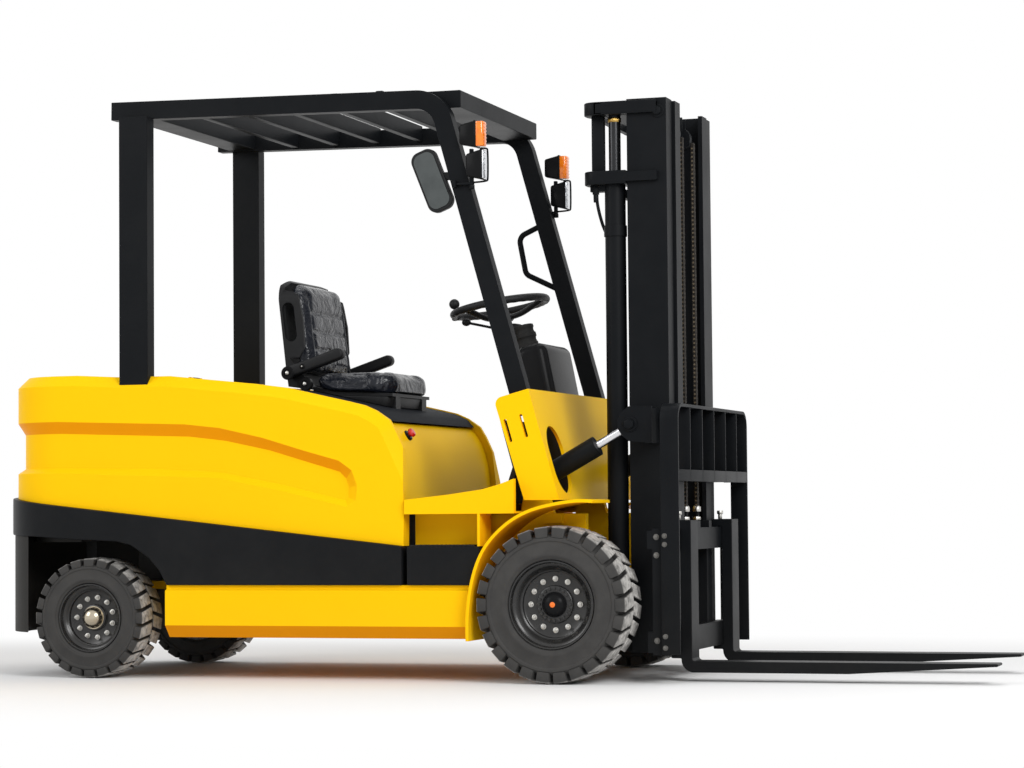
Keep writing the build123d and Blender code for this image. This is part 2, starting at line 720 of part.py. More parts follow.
def lug_ring(count, groove_r, top_r, turn):
    points = []
    for i in range(count):
        start = turn + 2 * pi * i / count
        end = start + 2 * pi * lug_share / count
        for angle, r in ((start, groove_r), (start, top_r), (end, top_r), (end, groove_r)):
            points.append((r * cos(angle), r * sin(angle)))
    return points


def make_tyre(x, y, radius, width, rim_r, lugs, lug_depth):
    with BuildPart() as tyre:
        for half in (0, 1):
            with BuildSketch(Plane.XZ.offset(-half * width / 2)):
                with BuildLine():
                    Polyline(*lug_ring(lugs, radius - lug_depth, radius, half * pi / lugs), close=True)
                make_face()
                RegularPolygon(rim_r + seat_gap, bore_sides, major_radius=False, mode=Mode.SUBTRACT)
            extrude(amount=width / 2)
    tyre.part.position = (x, y, radius)
    return tyre


def make_rim(x, y, side, tyre_r, width, rim_r, bore_r, hub_r, cap_r, stub):
    out = side * width * 0.42
    face = side * width * 0.18
    with BuildPart() as rim:
        with BuildSketch(Plane.XY):
            with BuildLine():
                Polyline(
                    (bore_r, face - side * stub),
                    (hub_r, face - side * stub),
                    (hub_r, face - side * 14),
                    (rim_r - 14, face - side * 14),
                    (rim_r - 14, -out),
                    (rim_r, -out),
                    (rim_r, out),
                    (rim_r - 14, out),
                    (rim_r - 22, face),
                    (cap_r, face),
                    (cap_r, face + side * 24),
                    (cap_r * 0.6, face + side * 38),
                    (0, face + side * 38),
                    (0, face + side * 26),
                    (bore_r, face + side * 26),
                    close=True,
                )
            make_face()
        revolve(axis=Axis.Y)
    rim.part.position = (x, y, tyre_r)
    return rim


front_tyre = (front_tyre_r, front_tyre_w, front_rim_r, 26, 24)
rear_tyre = (rear_tyre_r, rear_tyre_w, rear_rim_r, 24, 20)
tyre_front_left = make_tyre(front_axle_x, front_wheel_y, *front_tyre)
tyre_front_right = make_tyre(front_axle_x, -front_wheel_y, *front_tyre)
tyre_rear_left = make_tyre(rear_axle_x, rear_wheel_y, *rear_tyre)
tyre_rear_right = make_tyre(rear_axle_x, -rear_wheel_y, *rear_tyre)
front_rim = (front_tyre_r, front_tyre_w, front_rim_r, spindle_r, 75, 62, 130)
rear_rim = (rear_tyre_r, rear_tyre_w, rear_rim_r, rear_spindle_r, 55, 45, 70)
rim_front_left = make_rim(front_axle_x, front_wheel_y, 1, *front_rim)
rim_front_right = make_rim(front_axle_x, -front_wheel_y, -1, *front_rim)
rim_rear_left = make_rim(rear_axle_x, rear_wheel_y, 1, *rear_rim)
rim_rear_right = make_rim(rear_axle_x, -rear_wheel_y, -1, *rear_rim)

# Hood under the seat
hood_half = cover_inner_y - move_gap
hood_rear_x = hinge_x + 3
hood_top_line = [
    (hood_rear_x, hinge_z),
    *from_front((-1160, 1085), (-1033, 1068), (-912, 1040), (-793, 1013), (-732, 998), (-685, 977), (-656, 945)),
]
hood_under_line = [
    *from_front((-676, 945), (-700, 958), (-740, 974), (-912, 1016), (-1160, 1062)),
    (hood_rear_x, 1087),
]


def hood_top(x):
    for (x0, z0), (x1, z1) in zip(hood_top_line, hood_top_line[1:]):
        if x0 <= x <= x1:
            return z0 + (z1 - z0) * (x - x0) / (x1 - x0)


with BuildPart() as hood:
    side_plate(hood_top_line + hood_under_line, 0, 2 * hood_half)
    hinge_ends(hinge_r + 4, hinge_end + 4, Mode.SUBTRACT)
    hinge_barrels(hinge_r, hinge_length)
    hinge_barrels(hinge_pin_r, hinge_length + 2, Mode.SUBTRACT)

# Seat frame: wedge rails, back shell with side wings and loops, and hinge plates
seat_line = from_front((-1075, 1094), (-975, 1068), (-740, 1058))
seat_plate = 12
seat_half = 235
back_top_z = 1500
back_corner_r = 90
back_lean = 6.5
loop_size = (150, 48)
wing_thick = 12


def round_back(half, low_z, top_z):
    with BuildSketch(Plane.YZ.offset(front_axle_x - 1300), mode=Mode.PRIVATE) as outline:
        with Locations((0, (low_z + top_z) / 2)):
            Rectangle(2 * half, top_z - low_z)
        fillet(outline.vertices().group_by(Axis.Y)[-1], back_corner_r)
    extrude(outline.sketch, amount=400, mode=Mode.INTERSECT)


with BuildPart() as seat_frame:
    rail_stations = [front_axle_x + x for x in (-1075, -1033, -912, -793, -740)]
    rail = [(x, hood_top(x)) for x in rail_stations]
    rail += [(x, z - seat_plate / 2) for x, z in reversed(seat_line)]
    shell = from_front((-1195, back_top_z - 20), (-1175, back_top_z), (-1155, back_top_z - 10), (-1176, back_top_z - 38),
                       (-1146, 1200), (-1120, 1160), (-1105, 1100), (-1150, 1090), (-1160, 1160))
    side_plate(shell, 0, 2 * seat_half)
    wing = from_front((-1164, 1200), (-1190, 1430), (-1160, 1464), (-1110, 1440), (-1090, 1340), (-1084, 1240), (-1104, 1200))
    for side in (-1, 1):
        side_plate(wing, side * (seat_half - wing_thick / 2), wing_thick)
    round_back(seat_half, seat_line[0][1] - seat_plate, back_top_z)
    for side in (-1, 1):
        with BuildSketch(Plane.XZ.offset(-side * seat_half)):
            with Locations((front_axle_x - 1145, 1336)):
                SlotOverall(*loop_size, rotation=90 + back_lean)
        extrude(amount=wing_thick, both=True, mode=Mode.SUBTRACT)
    pan = seat_line + [(x, z - seat_plate) for x, z in reversed(seat_line)]
    side_plate(pan, 0, 2 * (seat_half - 30))
    for side in (-1, 1):
        side_plate(rail, side * 145, 50)
        hinge = from_front((-1150, 1090), (-1052, 1076), (-1052, 1088), (-1092, 1134), (-1145, 1134))
        side_plate(hinge, side * (seat_half - 20), 40)

# Seat pads and arm rests
pad_half = 240
back_half = seat_half - wing_thick - seat_gap
cushion_top_z = 1136
cushion_length = 328
arm_width = 44
arm_gap = 3
with BuildPart() as seat_pads:
    cushion_back = from_front((-1152, back_top_z - 20), (-1132, back_top_z - 5), (-1100, back_top_z - 30), (-1060, 1150),
                              (-1060, cushion_top_z + 2), (-1113, cushion_top_z + 2))
    side_plate(cushion_back, 0, 2 * back_half)
    round_back(back_half, cushion_top_z, back_top_z - 5)
    with BuildSketch(Plane.XY.offset(seat_line[-1][1] - 2)) as cushion:
        with Locations((front_axle_x - 886, 0)):
            Rectangle(cushion_length, 2 * pad_half)
        fillet(cushion.vertices().group_by(Axis.X)[-1], 70)
    extrude(amount=cushion_top_z + 2 - seat_line[-1][1])
    under = [*seat_line, *from_front((-700, 1056.5), (-700, 1000), (-1075, 1000))]
    side_plate(under, 0, 2 * pad_half + 20, Mode.SUBTRACT)
    for side in (-1, 1):
        arm = from_front((-1143, 1118), (-1122, 1120), (-924, 1187), (-909, 1204), (-912, 1224), (-936, 1229), (-1142, 1162),
                         (-1156, 1140))
        side_plate(arm, side * (pad_half + arm_gap + arm_width / 2), arm_width)
        side_block(side, front_axle_x - 1150, front_axle_x - 1125, seat_half, pad_half + arm_gap + 1, 1128, 1152)

# Outer mast: rails, bowed ties, foot, tilt lugs and chain anchors
tie_x = outer_rear_x - 166
tie_thick = 20
tie_height = 34
tie_y = mast_half_width + 18
lug_gap = tilt_eye_w / 2 + 10
anchor_z = (112, 136)
with BuildPart() as outer_mast:
    for side in (-1, 1):
        side_block(side, outer_rear_x, mast_front_x, outer_inner_y, mast_half_width, rail_bottom_z, mast_height)
        side_block(side, outer_rear_x + flange, mast_front_x - flange, outer_inner_y - 1, mast_half_width - flange,
                   rail_bottom_z - 1, mast_height + 1, Mode.SUBTRACT)
        clevis = [
            (tilt_front[0] - 46, tilt_front[1] - 14),
            (tilt_front[0] - 30, tilt_front[1] - 40),
            (tilt_front[0] - 6, tilt_front[1] - 60),
            (tilt_front[0] + 80, tilt_front[1] - 68),
            (tilt_front[0] + 80, tilt_front[1] + 64),
            (tilt_front[0] - 4, tilt_front[1] + 64),
            (tilt_front[0] - 30, tilt_front[1] + 46),
            (tilt_front[0] - 46, tilt_front[1] + 18),
        ]
        for y in (tilt_y - lug_gap, tilt_y + lug_gap):
            side_plate(clevis, side * y, 16)
        side_block(side, tilt_front[0] + 55, tilt_front[0] + 80, mast_half_width, tilt_y + lug_gap + 8,
                   tilt_front[1] - 68, tilt_front[1] + 56)
        round_bar((tilt_front[0], side * tilt_y, tilt_front[1]), (0, 1, 0), eye_pin_r, tilt_eye_w + 40)
        foot = [
            (pivot_x - 34, pivot_z - 20),
            (outer_rear_x - 50, shelf_z - 85),
            (outer_rear_x - 22, shelf_z - 85),
            (outer_rear_x - 22, pivot_z + 20),
            (pivot_x + 20, pivot_z + 34),
            (pivot_x - 20, pivot_z + 34),
            (pivot_x - 34, pivot_z + 20),
        ]
        side_plate(foot, side * lug_y, lug_thick)
        round_bar((pivot_x, side * lug_y, pivot_z), (0, 1, 0), pivot_pin_r, 60, Mode.SUBTRACT)
        side_block(side, outer_rear_x - 38, sheave_x - 30, chain_y - 15, chain_y + 15, *anchor_z)
    for z in (barrel_top_z, mast_height - 48):
        with BuildSketch(Plane.XY.offset(z)) as bow:
            with Locations(((tie_x + outer_rear_x + 115) / 2, 0)):
                Rectangle(outer_rear_x + 115 - tie_x, 2 * tie_y)
            fillet(bow.vertices().group_by(Axis.X)[0], 60)
            with Locations(((tie_x + tie_thick + outer_rear_x + 120) / 2, 0)):
                Rectangle(outer_rear_x + 120 - tie_x - tie_thick, 2 * mast_half_width, mode=Mode.SUBTRACT)
        extrude(amount=tie_height)
    mirrored_blocks(tie_x, tie_x + tie_thick, lift_y - 60, lift_y, barrel_top_z + tie_height, mast_height - 48)
    block(outer_rear_x - 50, outer_rear_x - 22, -mast_half_width + 10, mast_half_width - 10, shelf_z - 85, shelf_z)
    mirrored_blocks(lift_x - lift_barrel_r, outer_rear_x, outer_inner_y + 10, mast_half_width - 10, shelf_z - 85, shelf_z)

# Lift cylinder barrels
with BuildPart() as lift_barrels:
    for side in (-1, 1):
        round_bar((lift_x, side * lift_y, (shelf_z + barrel_top_z) / 2), (0, 0, 1), lift_barrel_r, barrel_top_z - shelf_z)
        round_bar((lift_x, side * lift_y, barrel_top_z - 175), (0, 0, 1), lift_barrel_r + 4, 40)
        round_bar((lift_x, side * lift_y, (rod_bottom_z + barrel_top_z - 10) / 2), (0, 0, 1), lift_rod_r + fit_gap,
                  barrel_top_z + 30 - rod_bottom_z, Mode.SUBTRACT)
        side_block(side, tie_x + tie_thick, lift_x - 30, lift_y - 20, lift_y + 20, barrel_top_z - 30, barrel_top_z - 1)

# Inner mast: rails, beams, guide rollers and sheaves
with BuildPart() as inner_mast:
    for side in (-1, 1):
        side_block(side, inner_rear_x, inner_front_x, inner_inner_y, inner_outer_y, rail_bottom_z + 10, mast_height - 2)
        side_block(side, inner_rear_x + flange, inner_front_x - flange, inner_inner_y - 1, inner_outer_y - flange,
                   rail_bottom_z, mast_height, Mode.SUBTRACT)
        for z in (220, 520):
            round_bar(((outer_rear_x + mast_front_x) / 2, side * (inner_outer_y + 35), z), (0, 1, 0),
                      outer_depth / 2 - flange - seat_gap, 70)
        round_bar((sheave_x, side * chain_y, sheave_z), (0, 1, 0), sheave_r, 32)
        round_bar((sheave_x, side * chain_y, sheave_z), (0, 1, 0), 16, 52)
        for y in (chain_y - 30, chain_y + 20):
            side_block(side, inner_rear_x - 6, sheave_x + 18, y, y + 10, sheave_z - 18, beam_top_z)
    block(lift_x - 26, inner_rear_x - 25, -lift_y - 28, lift_y + 28, beam_top_z - 34, beam_top_z)
    for z0, z1 in ((beam_top_z - 90, beam_top_z), (150, 250), (1000, 1080)):
        block(inner_rear_x - 25, inner_rear_x, -inner_outer_y, inner_outer_y, z0, z1)

# Lift rods
with BuildPart() as lift_rods:
    for side in (-1, 1):
        rod_top_z = beam_top_z - 34
        round_bar((lift_x, side * lift_y, (rod_bottom_z + rod_top_z) / 2), (0, 0, 1), lift_rod_r, rod_top_z - rod_bottom_z)

# Lift chains: front legs to the carriage and rear legs to the outer mast
chain_gap = 0.5
chain_low_z = 602
chain_front_x = sheave_x + sheave_r + chain_gap
chain_rear_x = sheave_x - sheave_r - chain_gap
with BuildPart() as chain_front:
    mirrored_blocks(chain_front_x, chain_front_x + chain_t, chain_y - chain_w / 2, chain_y + chain_w / 2, chain_low_z,
                    sheave_z)

with BuildPart() as chain_rear:
    mirrored_blocks(chain_rear_x - chain_t, chain_rear_x, chain_y - chain_w / 2, chain_y + chain_w / 2, anchor_z[1],
                    sheave_z)

# Carriage: bars, roller plates, end brackets and chain anchors
roller_x = (inner_rear_x + inner_front_x) / 2
roller_r = inner_depth / 2 - flange - seat_gap
end_inner_y = carriage_half_width - 24
with BuildPart() as carriage:
    for z0, z1 in (upper_bar_z, lower_bar_z):
        block(bar_rear_x, bar_front_x, -carriage_half_width, carriage_half_width, z0, z1)
        mirrored_blocks(bar_rear_x - 37, bar_rear_x, end_inner_y, carriage_half_width, z0, z1)
        mirrored_blocks(bar_rear_x - 56, bar_rear_x - 37, end_inner_y - 14, carriage_half_width, z0 + 8, z1 - 8)
    mirrored_blocks(bar_rear_x - 115, bar_rear_x, inner_inner_y - 36, inner_inner_y - 10, lower_bar_z[0], upper_bar_z[1])
    mirrored_blocks(bar_rear_x - 37, bar_rear_x - 5, end_inner_y, carriage_half_width, lower_bar_z[1], upper_bar_z[0])
    for side in (-1, 1):
        for z in (lower_bar_z[0] + 89, upper_bar_z[0] - 11):
            round_bar((roller_x, side * (inner_inner_y + 20), z), (0, 1, 0), roller_r, 62)
        side_block(side, sheave_x + sheave_r - 20, bar_front_x, chain_y - 20, chain_y + 20, upper_bar_z[1],
                   upper_bar_z[1] + 25)
        round_bar((sheave_x + sheave_r + 7, side * chain_y, chain_low_z - seat_gap - 16), (0, 0, 1), 8, 32)

# Load backrest
rest_front_x = bar_front_x + 40
rest_half = carriage_half_width + 20
rest_top_z = 987
rest_bottom_z = lower_bar_z[0] + 4
rest_corner_r = 60
rest_wall = 12
bar_depth = 52
with BuildPart() as backrest:
    with BuildSketch(Plane.YZ.offset(bar_rear_x)):
        with BuildLine():
            bend = FilletPolyline(
                (-rest_half, rest_bottom_z),
                (-rest_half, rest_top_z),
                (rest_half, rest_top_z),
                (rest_half, rest_bottom_z),
                radius=rest_corner_r,
            )
            inner_bend = FilletPolyline(
                (-rest_half + rest_wall, rest_bottom_z),
                (-rest_half + rest_wall, rest_top_z - rest_wall),
                (rest_half - rest_wall, rest_top_z - rest_wall),
                (rest_half - rest_wall, rest_bottom_z),
                radius=rest_corner_r - rest_wall,
            )
            Line(bend @ 0, inner_bend @ 0)
            Line(bend @ 1, inner_bend @ 1)
        make_face()
    extrude(amount=rest_front_x - bar_rear_x)
    for low_z, top_z in (upper_bar_z, lower_bar_z):
        mirrored_blocks(bar_rear_x, bar_front_x, carriage_half_width + seat_gap, rest_half - rest_wall, low_z + 4, top_z)
    block(rest_front_x - 16, rest_front_x, -rest_half + rest_wall, rest_half - rest_wall, 712, 754)
    for i in range(5):
        bar_y = rest_half * (i - 2) / 3
        block(rest_front_x - bar_depth, rest_front_x, bar_y - 4, bar_y + 4, 712, rest_top_z - rest_wall)

# Forks
fork_x = bar_front_x
fork_top_z = 73
fork_face_x = fork_x + fork_thick
shank_top_z = 574
hook_depth = 11
with BuildPart() as forks:
    for side in (-1, 1):
        with BuildSketch(Plane.XZ.offset(-side * fork_centre_y)) as profile:
            with BuildLine():
                Polyline(
                    (fork_x, shank_top_z),
                    (fork_face_x, shank_top_z),
                    (fork_face_x, fork_top_z),
                    (fork_tip_x, fork_top_z),
                    (fork_tip_x, fork_top_z - 10),
                    (fork_face_x + 560, fork_top_z - fork_thick),
                    (fork_x, fork_top_z - fork_thick),
                    close=True,
                )
            make_face()
            fillet(profile.vertices().sort_by_distance((fork_face_x, fork_top_z)).first, 12)
            fillet(profile.vertices().sort_by_distance((fork_x, fork_top_z - fork_thick)).first, 45)
        extrude(amount=fork_width / 2, both=True)
        inner_y = fork_centre_y - fork_width / 2
        outer_y = fork_centre_y + fork_width / 2
        side_block(side, bar_rear_x - hook_depth, fork_x, inner_y, outer_y, upper_bar_z[1], shank_top_z)
        side_block(side, bar_rear_x - hook_depth, bar_rear_x, inner_y, outer_y, upper_bar_z[1] - 22, upper_bar_z[1])
        side_block(side, bar_rear_x - hook_depth, fork_x, inner_y, outer_y, lower_bar_z[0] - 18, lower_bar_z[0])

# Tilt cylinders
tilt_run = (tilt_front[0] - tilt_rear[0], tilt_front[1] - tilt_rear[1])
tilt_length = hypot(*tilt_run)
tilt_dir = (tilt_run[0] / tilt_length, 0, tilt_run[1] / tilt_length)
barrel_length = tilt_length - 152
rod_start = barrel_length - 69


def on_tilt(d, side):
    return (tilt_rear[0] + d * tilt_dir[0], side * tilt_y, tilt_rear[1] + d * tilt_dir[2])


def make_tilt_barrel(side):
    with BuildPart() as barrel:
        round_bar(on_tilt((30 + barrel_length) / 2, side), tilt_dir, tilt_barrel_r, barrel_length - 30)
        round_bar(on_tilt(0, side), (0, 1, 0), tilt_pin_r + 16, tilt_eye_w)
        round_bar(on_tilt(25, side), tilt_dir, 20, 40)
        round_bar(on_tilt(0, side), (0, 1, 0), tilt_pin_r, tilt_eye_w + 2, Mode.SUBTRACT)
        round_bar(on_tilt((120 + barrel_length + 10) / 2, side), tilt_dir, tilt_rod_r + fit_gap, barrel_length - 110,
                  Mode.SUBTRACT)
    return barrel


def make_tilt_rod(side):
    with BuildPart() as rod:
        round_bar(on_tilt((tilt_length + rod_start) / 2, side), tilt_dir, tilt_rod_r, tilt_length - rod_start)
        round_bar(on_tilt(tilt_length, side), (0, 1, 0), eye_bore_r + 13, tilt_eye_w)
        round_bar(on_tilt(tilt_length, side), (0, 1, 0), eye_bore_r, tilt_eye_w + 2, Mode.SUBTRACT)
    return rod


tilt_barrel_left = make_tilt_barrel(1)
tilt_barrel_right = make_tilt_barrel(-1)
tilt_rod_left = make_tilt_rod(1)
tilt_rod_right = make_tilt_rod(-1)

nodes = {
    "frame": frame,
    "counterweight": counterweight,
    "body_cover": body_cover,
    "body_band": body_band,
    "seat_box": seat_box,
    "floor": floor,
    "fenders": fenders,
    "cowl": cowl,
    "dash": dash,
    "guard_sides": guard_sides,
    "guard_roof": guard_roof,
    "lamps": lamps,
    "lamp_lenses": lamp_lenses,
    "mirror": mirror,
    "grab_handle": grab_handle,
    "battery": battery,
    "drive_axle": drive_axle,
    "steer_axle": steer_axle,
    "hood": hood,
    "seat_frame": seat_frame,
    "seat_pads": seat_pads,
    "steering_wheel": steering_wheel,
    "knuckle_left": knuckle_left,
    "knuckle_right": knuckle_right,
    "tyre_front_left": tyre_front_left,
    "tyre_front_right": tyre_front_right,
    "tyre_rear_left": tyre_rear_left,
    "tyre_rear_right": tyre_rear_right,
    "rim_front_left": rim_front_left,
    "rim_front_right": rim_front_right,
    "rim_rear_left": rim_rear_left,
    "rim_rear_right": rim_rear_right,
    "outer_mast": outer_mast,
    "lift_barrels": lift_barrels,
    "inner_mast": inner_mast,
    "lift_rods": lift_rods,
    "chain_front": chain_front,
    "chain_rear": chain_rear,
    "carriage": carriage,
    "backrest": backrest,
    "forks": forks,
    "tilt_barrel_left": tilt_barrel_left,
    "tilt_barrel_right": tilt_barrel_right,
    "tilt_rod_left": tilt_rod_left,
    "tilt_rod_right": tilt_rod_right,
}
for label, node in nodes.items():
    node.part.label = label
    export_step(node.part, f"parts/{label}.step")
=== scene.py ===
import bpy, json, math
from mathutils import Matrix, Vector

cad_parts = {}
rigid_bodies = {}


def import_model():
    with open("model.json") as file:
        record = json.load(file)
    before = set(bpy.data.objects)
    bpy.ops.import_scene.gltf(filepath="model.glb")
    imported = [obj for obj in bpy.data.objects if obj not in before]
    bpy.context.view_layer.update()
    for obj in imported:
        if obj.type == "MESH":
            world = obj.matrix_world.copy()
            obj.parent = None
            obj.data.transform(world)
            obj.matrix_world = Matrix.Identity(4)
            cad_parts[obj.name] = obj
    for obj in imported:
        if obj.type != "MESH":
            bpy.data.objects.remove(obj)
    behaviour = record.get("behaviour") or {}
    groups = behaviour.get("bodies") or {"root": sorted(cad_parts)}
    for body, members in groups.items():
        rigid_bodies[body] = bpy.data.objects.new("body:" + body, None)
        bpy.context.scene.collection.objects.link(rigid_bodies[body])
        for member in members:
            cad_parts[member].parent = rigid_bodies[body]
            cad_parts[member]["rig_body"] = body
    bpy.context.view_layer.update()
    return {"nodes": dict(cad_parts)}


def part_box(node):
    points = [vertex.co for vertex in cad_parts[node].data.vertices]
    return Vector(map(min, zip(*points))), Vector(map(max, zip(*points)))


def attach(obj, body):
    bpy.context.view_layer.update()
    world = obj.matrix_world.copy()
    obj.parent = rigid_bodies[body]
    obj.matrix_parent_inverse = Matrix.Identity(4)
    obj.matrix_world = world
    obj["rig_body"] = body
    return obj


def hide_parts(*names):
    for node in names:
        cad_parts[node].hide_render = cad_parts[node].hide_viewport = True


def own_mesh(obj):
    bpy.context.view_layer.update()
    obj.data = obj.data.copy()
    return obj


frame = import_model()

nodes = frame["nodes"]
print("frame loaded,", len(nodes), "nodes")


# shared shader groups
def feed(tree, socket, value):
    # a plain value is set, an output of another node is wired
    if isinstance(value, (int, float, tuple)):
        socket.default_value = value
    else:
        tree.links.new(value, socket)


def put(tree, kind, **settings):
    # a new node: inputs go by their names, anything else is a setting of the node
    node = tree.nodes.new(kind)
    for key, value in settings.items():
        if key in node.inputs:
            feed(tree, node.inputs[key], value)
        else:
            setattr(node, key, value)
    return node


def newGroup(name, inputs, outputs):
    # sockets by name with their defaults, whose length tells the kind of socket
    kinds = {1: "NodeSocketFloat", 3: "NodeSocketVector", 4: "NodeSocketColor"}
    group = bpy.data.node_groups.new(name, "ShaderNodeTree")
    for side, sockets in (("INPUT", inputs), ("OUTPUT", outputs)):
        for label, value in sockets.items():
            kind = kinds[len(value) if isinstance(value, tuple) else 1]
            group.interface.new_socket(label, in_out=side, socket_type=kind).default_value = value
    return group, group.nodes.new("NodeGroupInput").outputs, group.nodes.new("NodeGroupOutput").inputs


def mathNode(tree, operation, first, second=None, clamp=False):
    node = put(tree, "ShaderNodeMath", operation=operation, use_clamp=clamp)
    feed(tree, node.inputs[0], first)
    if second is not None:
        feed(tree, node.inputs[1], second)
    return node.outputs[0]


def lengthOf(tree, first, second):
    squares = [mathNode(tree, "MULTIPLY", side, side) for side in (first, second)]
    return mathNode(tree, "SQRT", mathNode(tree, "ADD", *squares))


def mixColour(tree, factor, first, second):
    node = put(tree, "ShaderNodeMix", data_type="RGBA")
    for index, value in ((0, factor), (6, first), (7, second)):
        feed(tree, node.inputs[index], value)
    return node.outputs[2]


def ramp(tree, value, low, high):
    settings = {"Value": value, "From Min": low, "From Max": high}
    return put(tree, "ShaderNodeMapRange", interpolation_type="SMOOTHSTEP", **settings).outputs[0]


def makeFinishGroup():
    # mottled colour, uneven gloss and a fine surface texture for coated and moulded faces
    grey = (0.5, 0.5, 0.5, 1)
    group, inside, outside = newGroup(
        "surfaceFinish",
        {"Vector": (0, 0, 0), "Colour": grey, "Worn": grey, "Mottle": 0.2, "Mottle scale": 3.0,
         "Grain scale": 400.0, "Gloss": 0.4, "Gloss change": 0.1},
        {"Colour": grey, "Roughness": 0.5, "Height": 0.0})
    place = inside["Vector"]
    broad = put(group, "ShaderNodeTexNoise", Vector=place, Scale=inside["Mottle scale"], Detail=6.0,
                Roughness=0.6).outputs["Fac"]
    fine = put(group, "ShaderNodeTexNoise", Vector=place, Scale=inside["Grain scale"], Detail=3.0)
    amount = mathNode(group, "MULTIPLY", ramp(group, broad, 0.35, 0.7), inside["Mottle"])
    feed(group, outside["Colour"], mixColour(group, amount, inside["Colour"], inside["Worn"]))
    swing = mathNode(group, "MULTIPLY", mathNode(group, "SUBTRACT", broad, 0.5), inside["Gloss change"])
    feed(group, outside["Roughness"], mathNode(group, "ADD", swing, inside["Gloss"], True))
    feed(group, outside["Height"], fine.outputs["Fac"])
    return group


def makeDustGroup():
    # dust that settles low on the truck, broken up by noise
    group, inside, outside = newGroup(
        "groundDust", {"Vector": (0, 0, 0), "Top": 0.5, "Strength": 0.3}, {"Mask": 0.0})
    place = inside["Vector"]
    split = put(group, "ShaderNodeSeparateXYZ", Vector=place)
    speckle = put(group, "ShaderNodeTexNoise", Vector=place, Scale=38.0, Detail=8.0, Roughness=0.7)
    share = mathNode(group, "DIVIDE", split.outputs["Z"], inside["Top"], True)
    low = mathNode(group, "SUBTRACT", 1.0, share)
    broken = mathNode(group, "MULTIPLY", low, speckle.outputs["Fac"])
    feed(group, outside["Mask"], mathNode(group, "MULTIPLY", broken, inside["Strength"], True))
    return group


def makePaintedShadeGroup():
    # painted shade by facing: 0 on faces that look down, 1 on faces that look up, softly in between
    group, inside, outside = newGroup("sunFade", {"Low": -0.6, "High": 0.15}, {"Mask": 0.0})
    shape = put(group, "ShaderNodeNewGeometry")
    split = put(group, "ShaderNodeSeparateXYZ", Vector=shape.outputs["Normal"])
    feed(group, outside["Mask"], ramp(group, split.outputs["Z"], inside["Low"], inside["High"]))
    return group


def makeTreadGroup():
    # 1 on the worn top of a tyre's lugs, 0 on its sidewall, by distance from the axle
    group, inside, outside = newGroup(
        "treadWear", {"Vector": (0, 0, 0), "Axle X": 0.0, "Axle Z": 0.0, "Radius": 0.25}, {"Mask": 0.0})
    place = inside["Vector"]
    split = put(group, "ShaderNodeSeparateXYZ", Vector=place)
    across = mathNode(group, "SUBTRACT", split.outputs["X"], inside["Axle X"])
    above = mathNode(group, "SUBTRACT", split.outputs["Z"], inside["Axle Z"])
    share = mathNode(group, "DIVIDE", lengthOf(group, across, above), inside["Radius"])
    top = ramp(group, share, 0.965, 0.995)
    scuffs = put(group, "ShaderNodeTexNoise", Vector=place, Scale=45.0, Detail=7.0, Roughness=0.65)
    scuffed = ramp(group, scuffs.outputs["Fac"], 0.15, 0.7)
    feed(group, outside["Mask"], mathNode(group, "MULTIPLY", top, scuffed))
    return group


finishGroup = makeFinishGroup()
dustGroup = makeDustGroup()
paintedShadeGroup = makePaintedShadeGroup()
treadGroup = makeTreadGroup()
treadStain = {"colour": (0.62, 0.60, 0.57, 1), "dulling": 0.15}
dustStain = {"colour": (0.27, 0.23, 0.18, 1), "dulling": 0.4}


def coated(name, colour, worn, gloss, mottle, mottleScale, grainScale, glossChange, bump, metal=0.0, coat=0.0,
           dustTop=0.6, dust=0.0, specular=0.5, under=None, tread=None, wrinkle=0.0):
    material = bpy.data.materials.new(name)
    material.use_nodes = True
    tree = material.node_tree
    shader = tree.nodes["Principled BSDF"].inputs
    place = put(tree, "ShaderNodeTexCoord").outputs["Object"]
    look = {"Vector": place, "Colour": (*colour, 1), "Worn": (*worn, 1), "Mottle": mottle,
            "Mottle scale": mottleScale, "Grain scale": grainScale, "Gloss": gloss,
            "Gloss change": glossChange}
    finish = put(tree, "ShaderNodeGroup", node_tree=finishGroup, **look).outputs
    tone, rough = finish["Colour"], finish["Roughness"]
    # painted shade: faces that look down are mixed towards a deeper colour that stands in for shade
    if under:
        facingShade = put(tree, "ShaderNodeGroup", node_tree=paintedShadeGroup)
        tone = mixColour(tree, facingShade.outputs["Mask"], (*under, 1), tone)
    stains = []
    if tread:
        stains.append((treadGroup, tread, treadStain))
    if dust:
        stains.append((dustGroup, {"Top": dustTop, "Strength": dust}, dustStain))
    for group, settings, stain in stains:
        mask = put(tree, "ShaderNodeGroup", node_tree=group, Vector=place, **settings).outputs["Mask"]
        tone = mixColour(tree, mask, tone, stain["colour"])
        rough = mathNode(tree, "ADD", rough, mathNode(tree, "MULTIPLY", mask, stain["dulling"]), True)
    relief = put(tree, "ShaderNodeBump", Height=finish["Height"], Strength=bump, Distance=0.002)
    if wrinkle:
        creases = put(tree, "ShaderNodeTexNoise", Vector=place, Scale=16.0, Detail=5.0, Distortion=1.6)
        fold = put(tree, "ShaderNodeBump", Height=creases.outputs["Fac"], Strength=wrinkle, Distance=0.012)
        feed(tree, relief.inputs["Normal"], fold.outputs["Normal"])
    levels = {"Base Color": tone, "Roughness": rough, "Metallic": metal, "Coat Weight": coat,
              "Coat Roughness": 0.08, "Specular IOR Level": specular, "Normal": relief.outputs["Normal"]}
    for label, value in levels.items():
        feed(tree, shader[label], value)
    return material


def cornersOf(node):
    return [Vector(corner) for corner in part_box(node)]


def middle(node):
    low, high = cornersOf(node)
    return (low + high) / 2


def halfSize(node):
    low, high = cornersOf(node)
    return (high - low) / 2


def treadOf(node):
    axle = middle(node)
    return {"Axle X": axle.x, "Axle Z": axle.z, "Radius": halfSize(node).z}


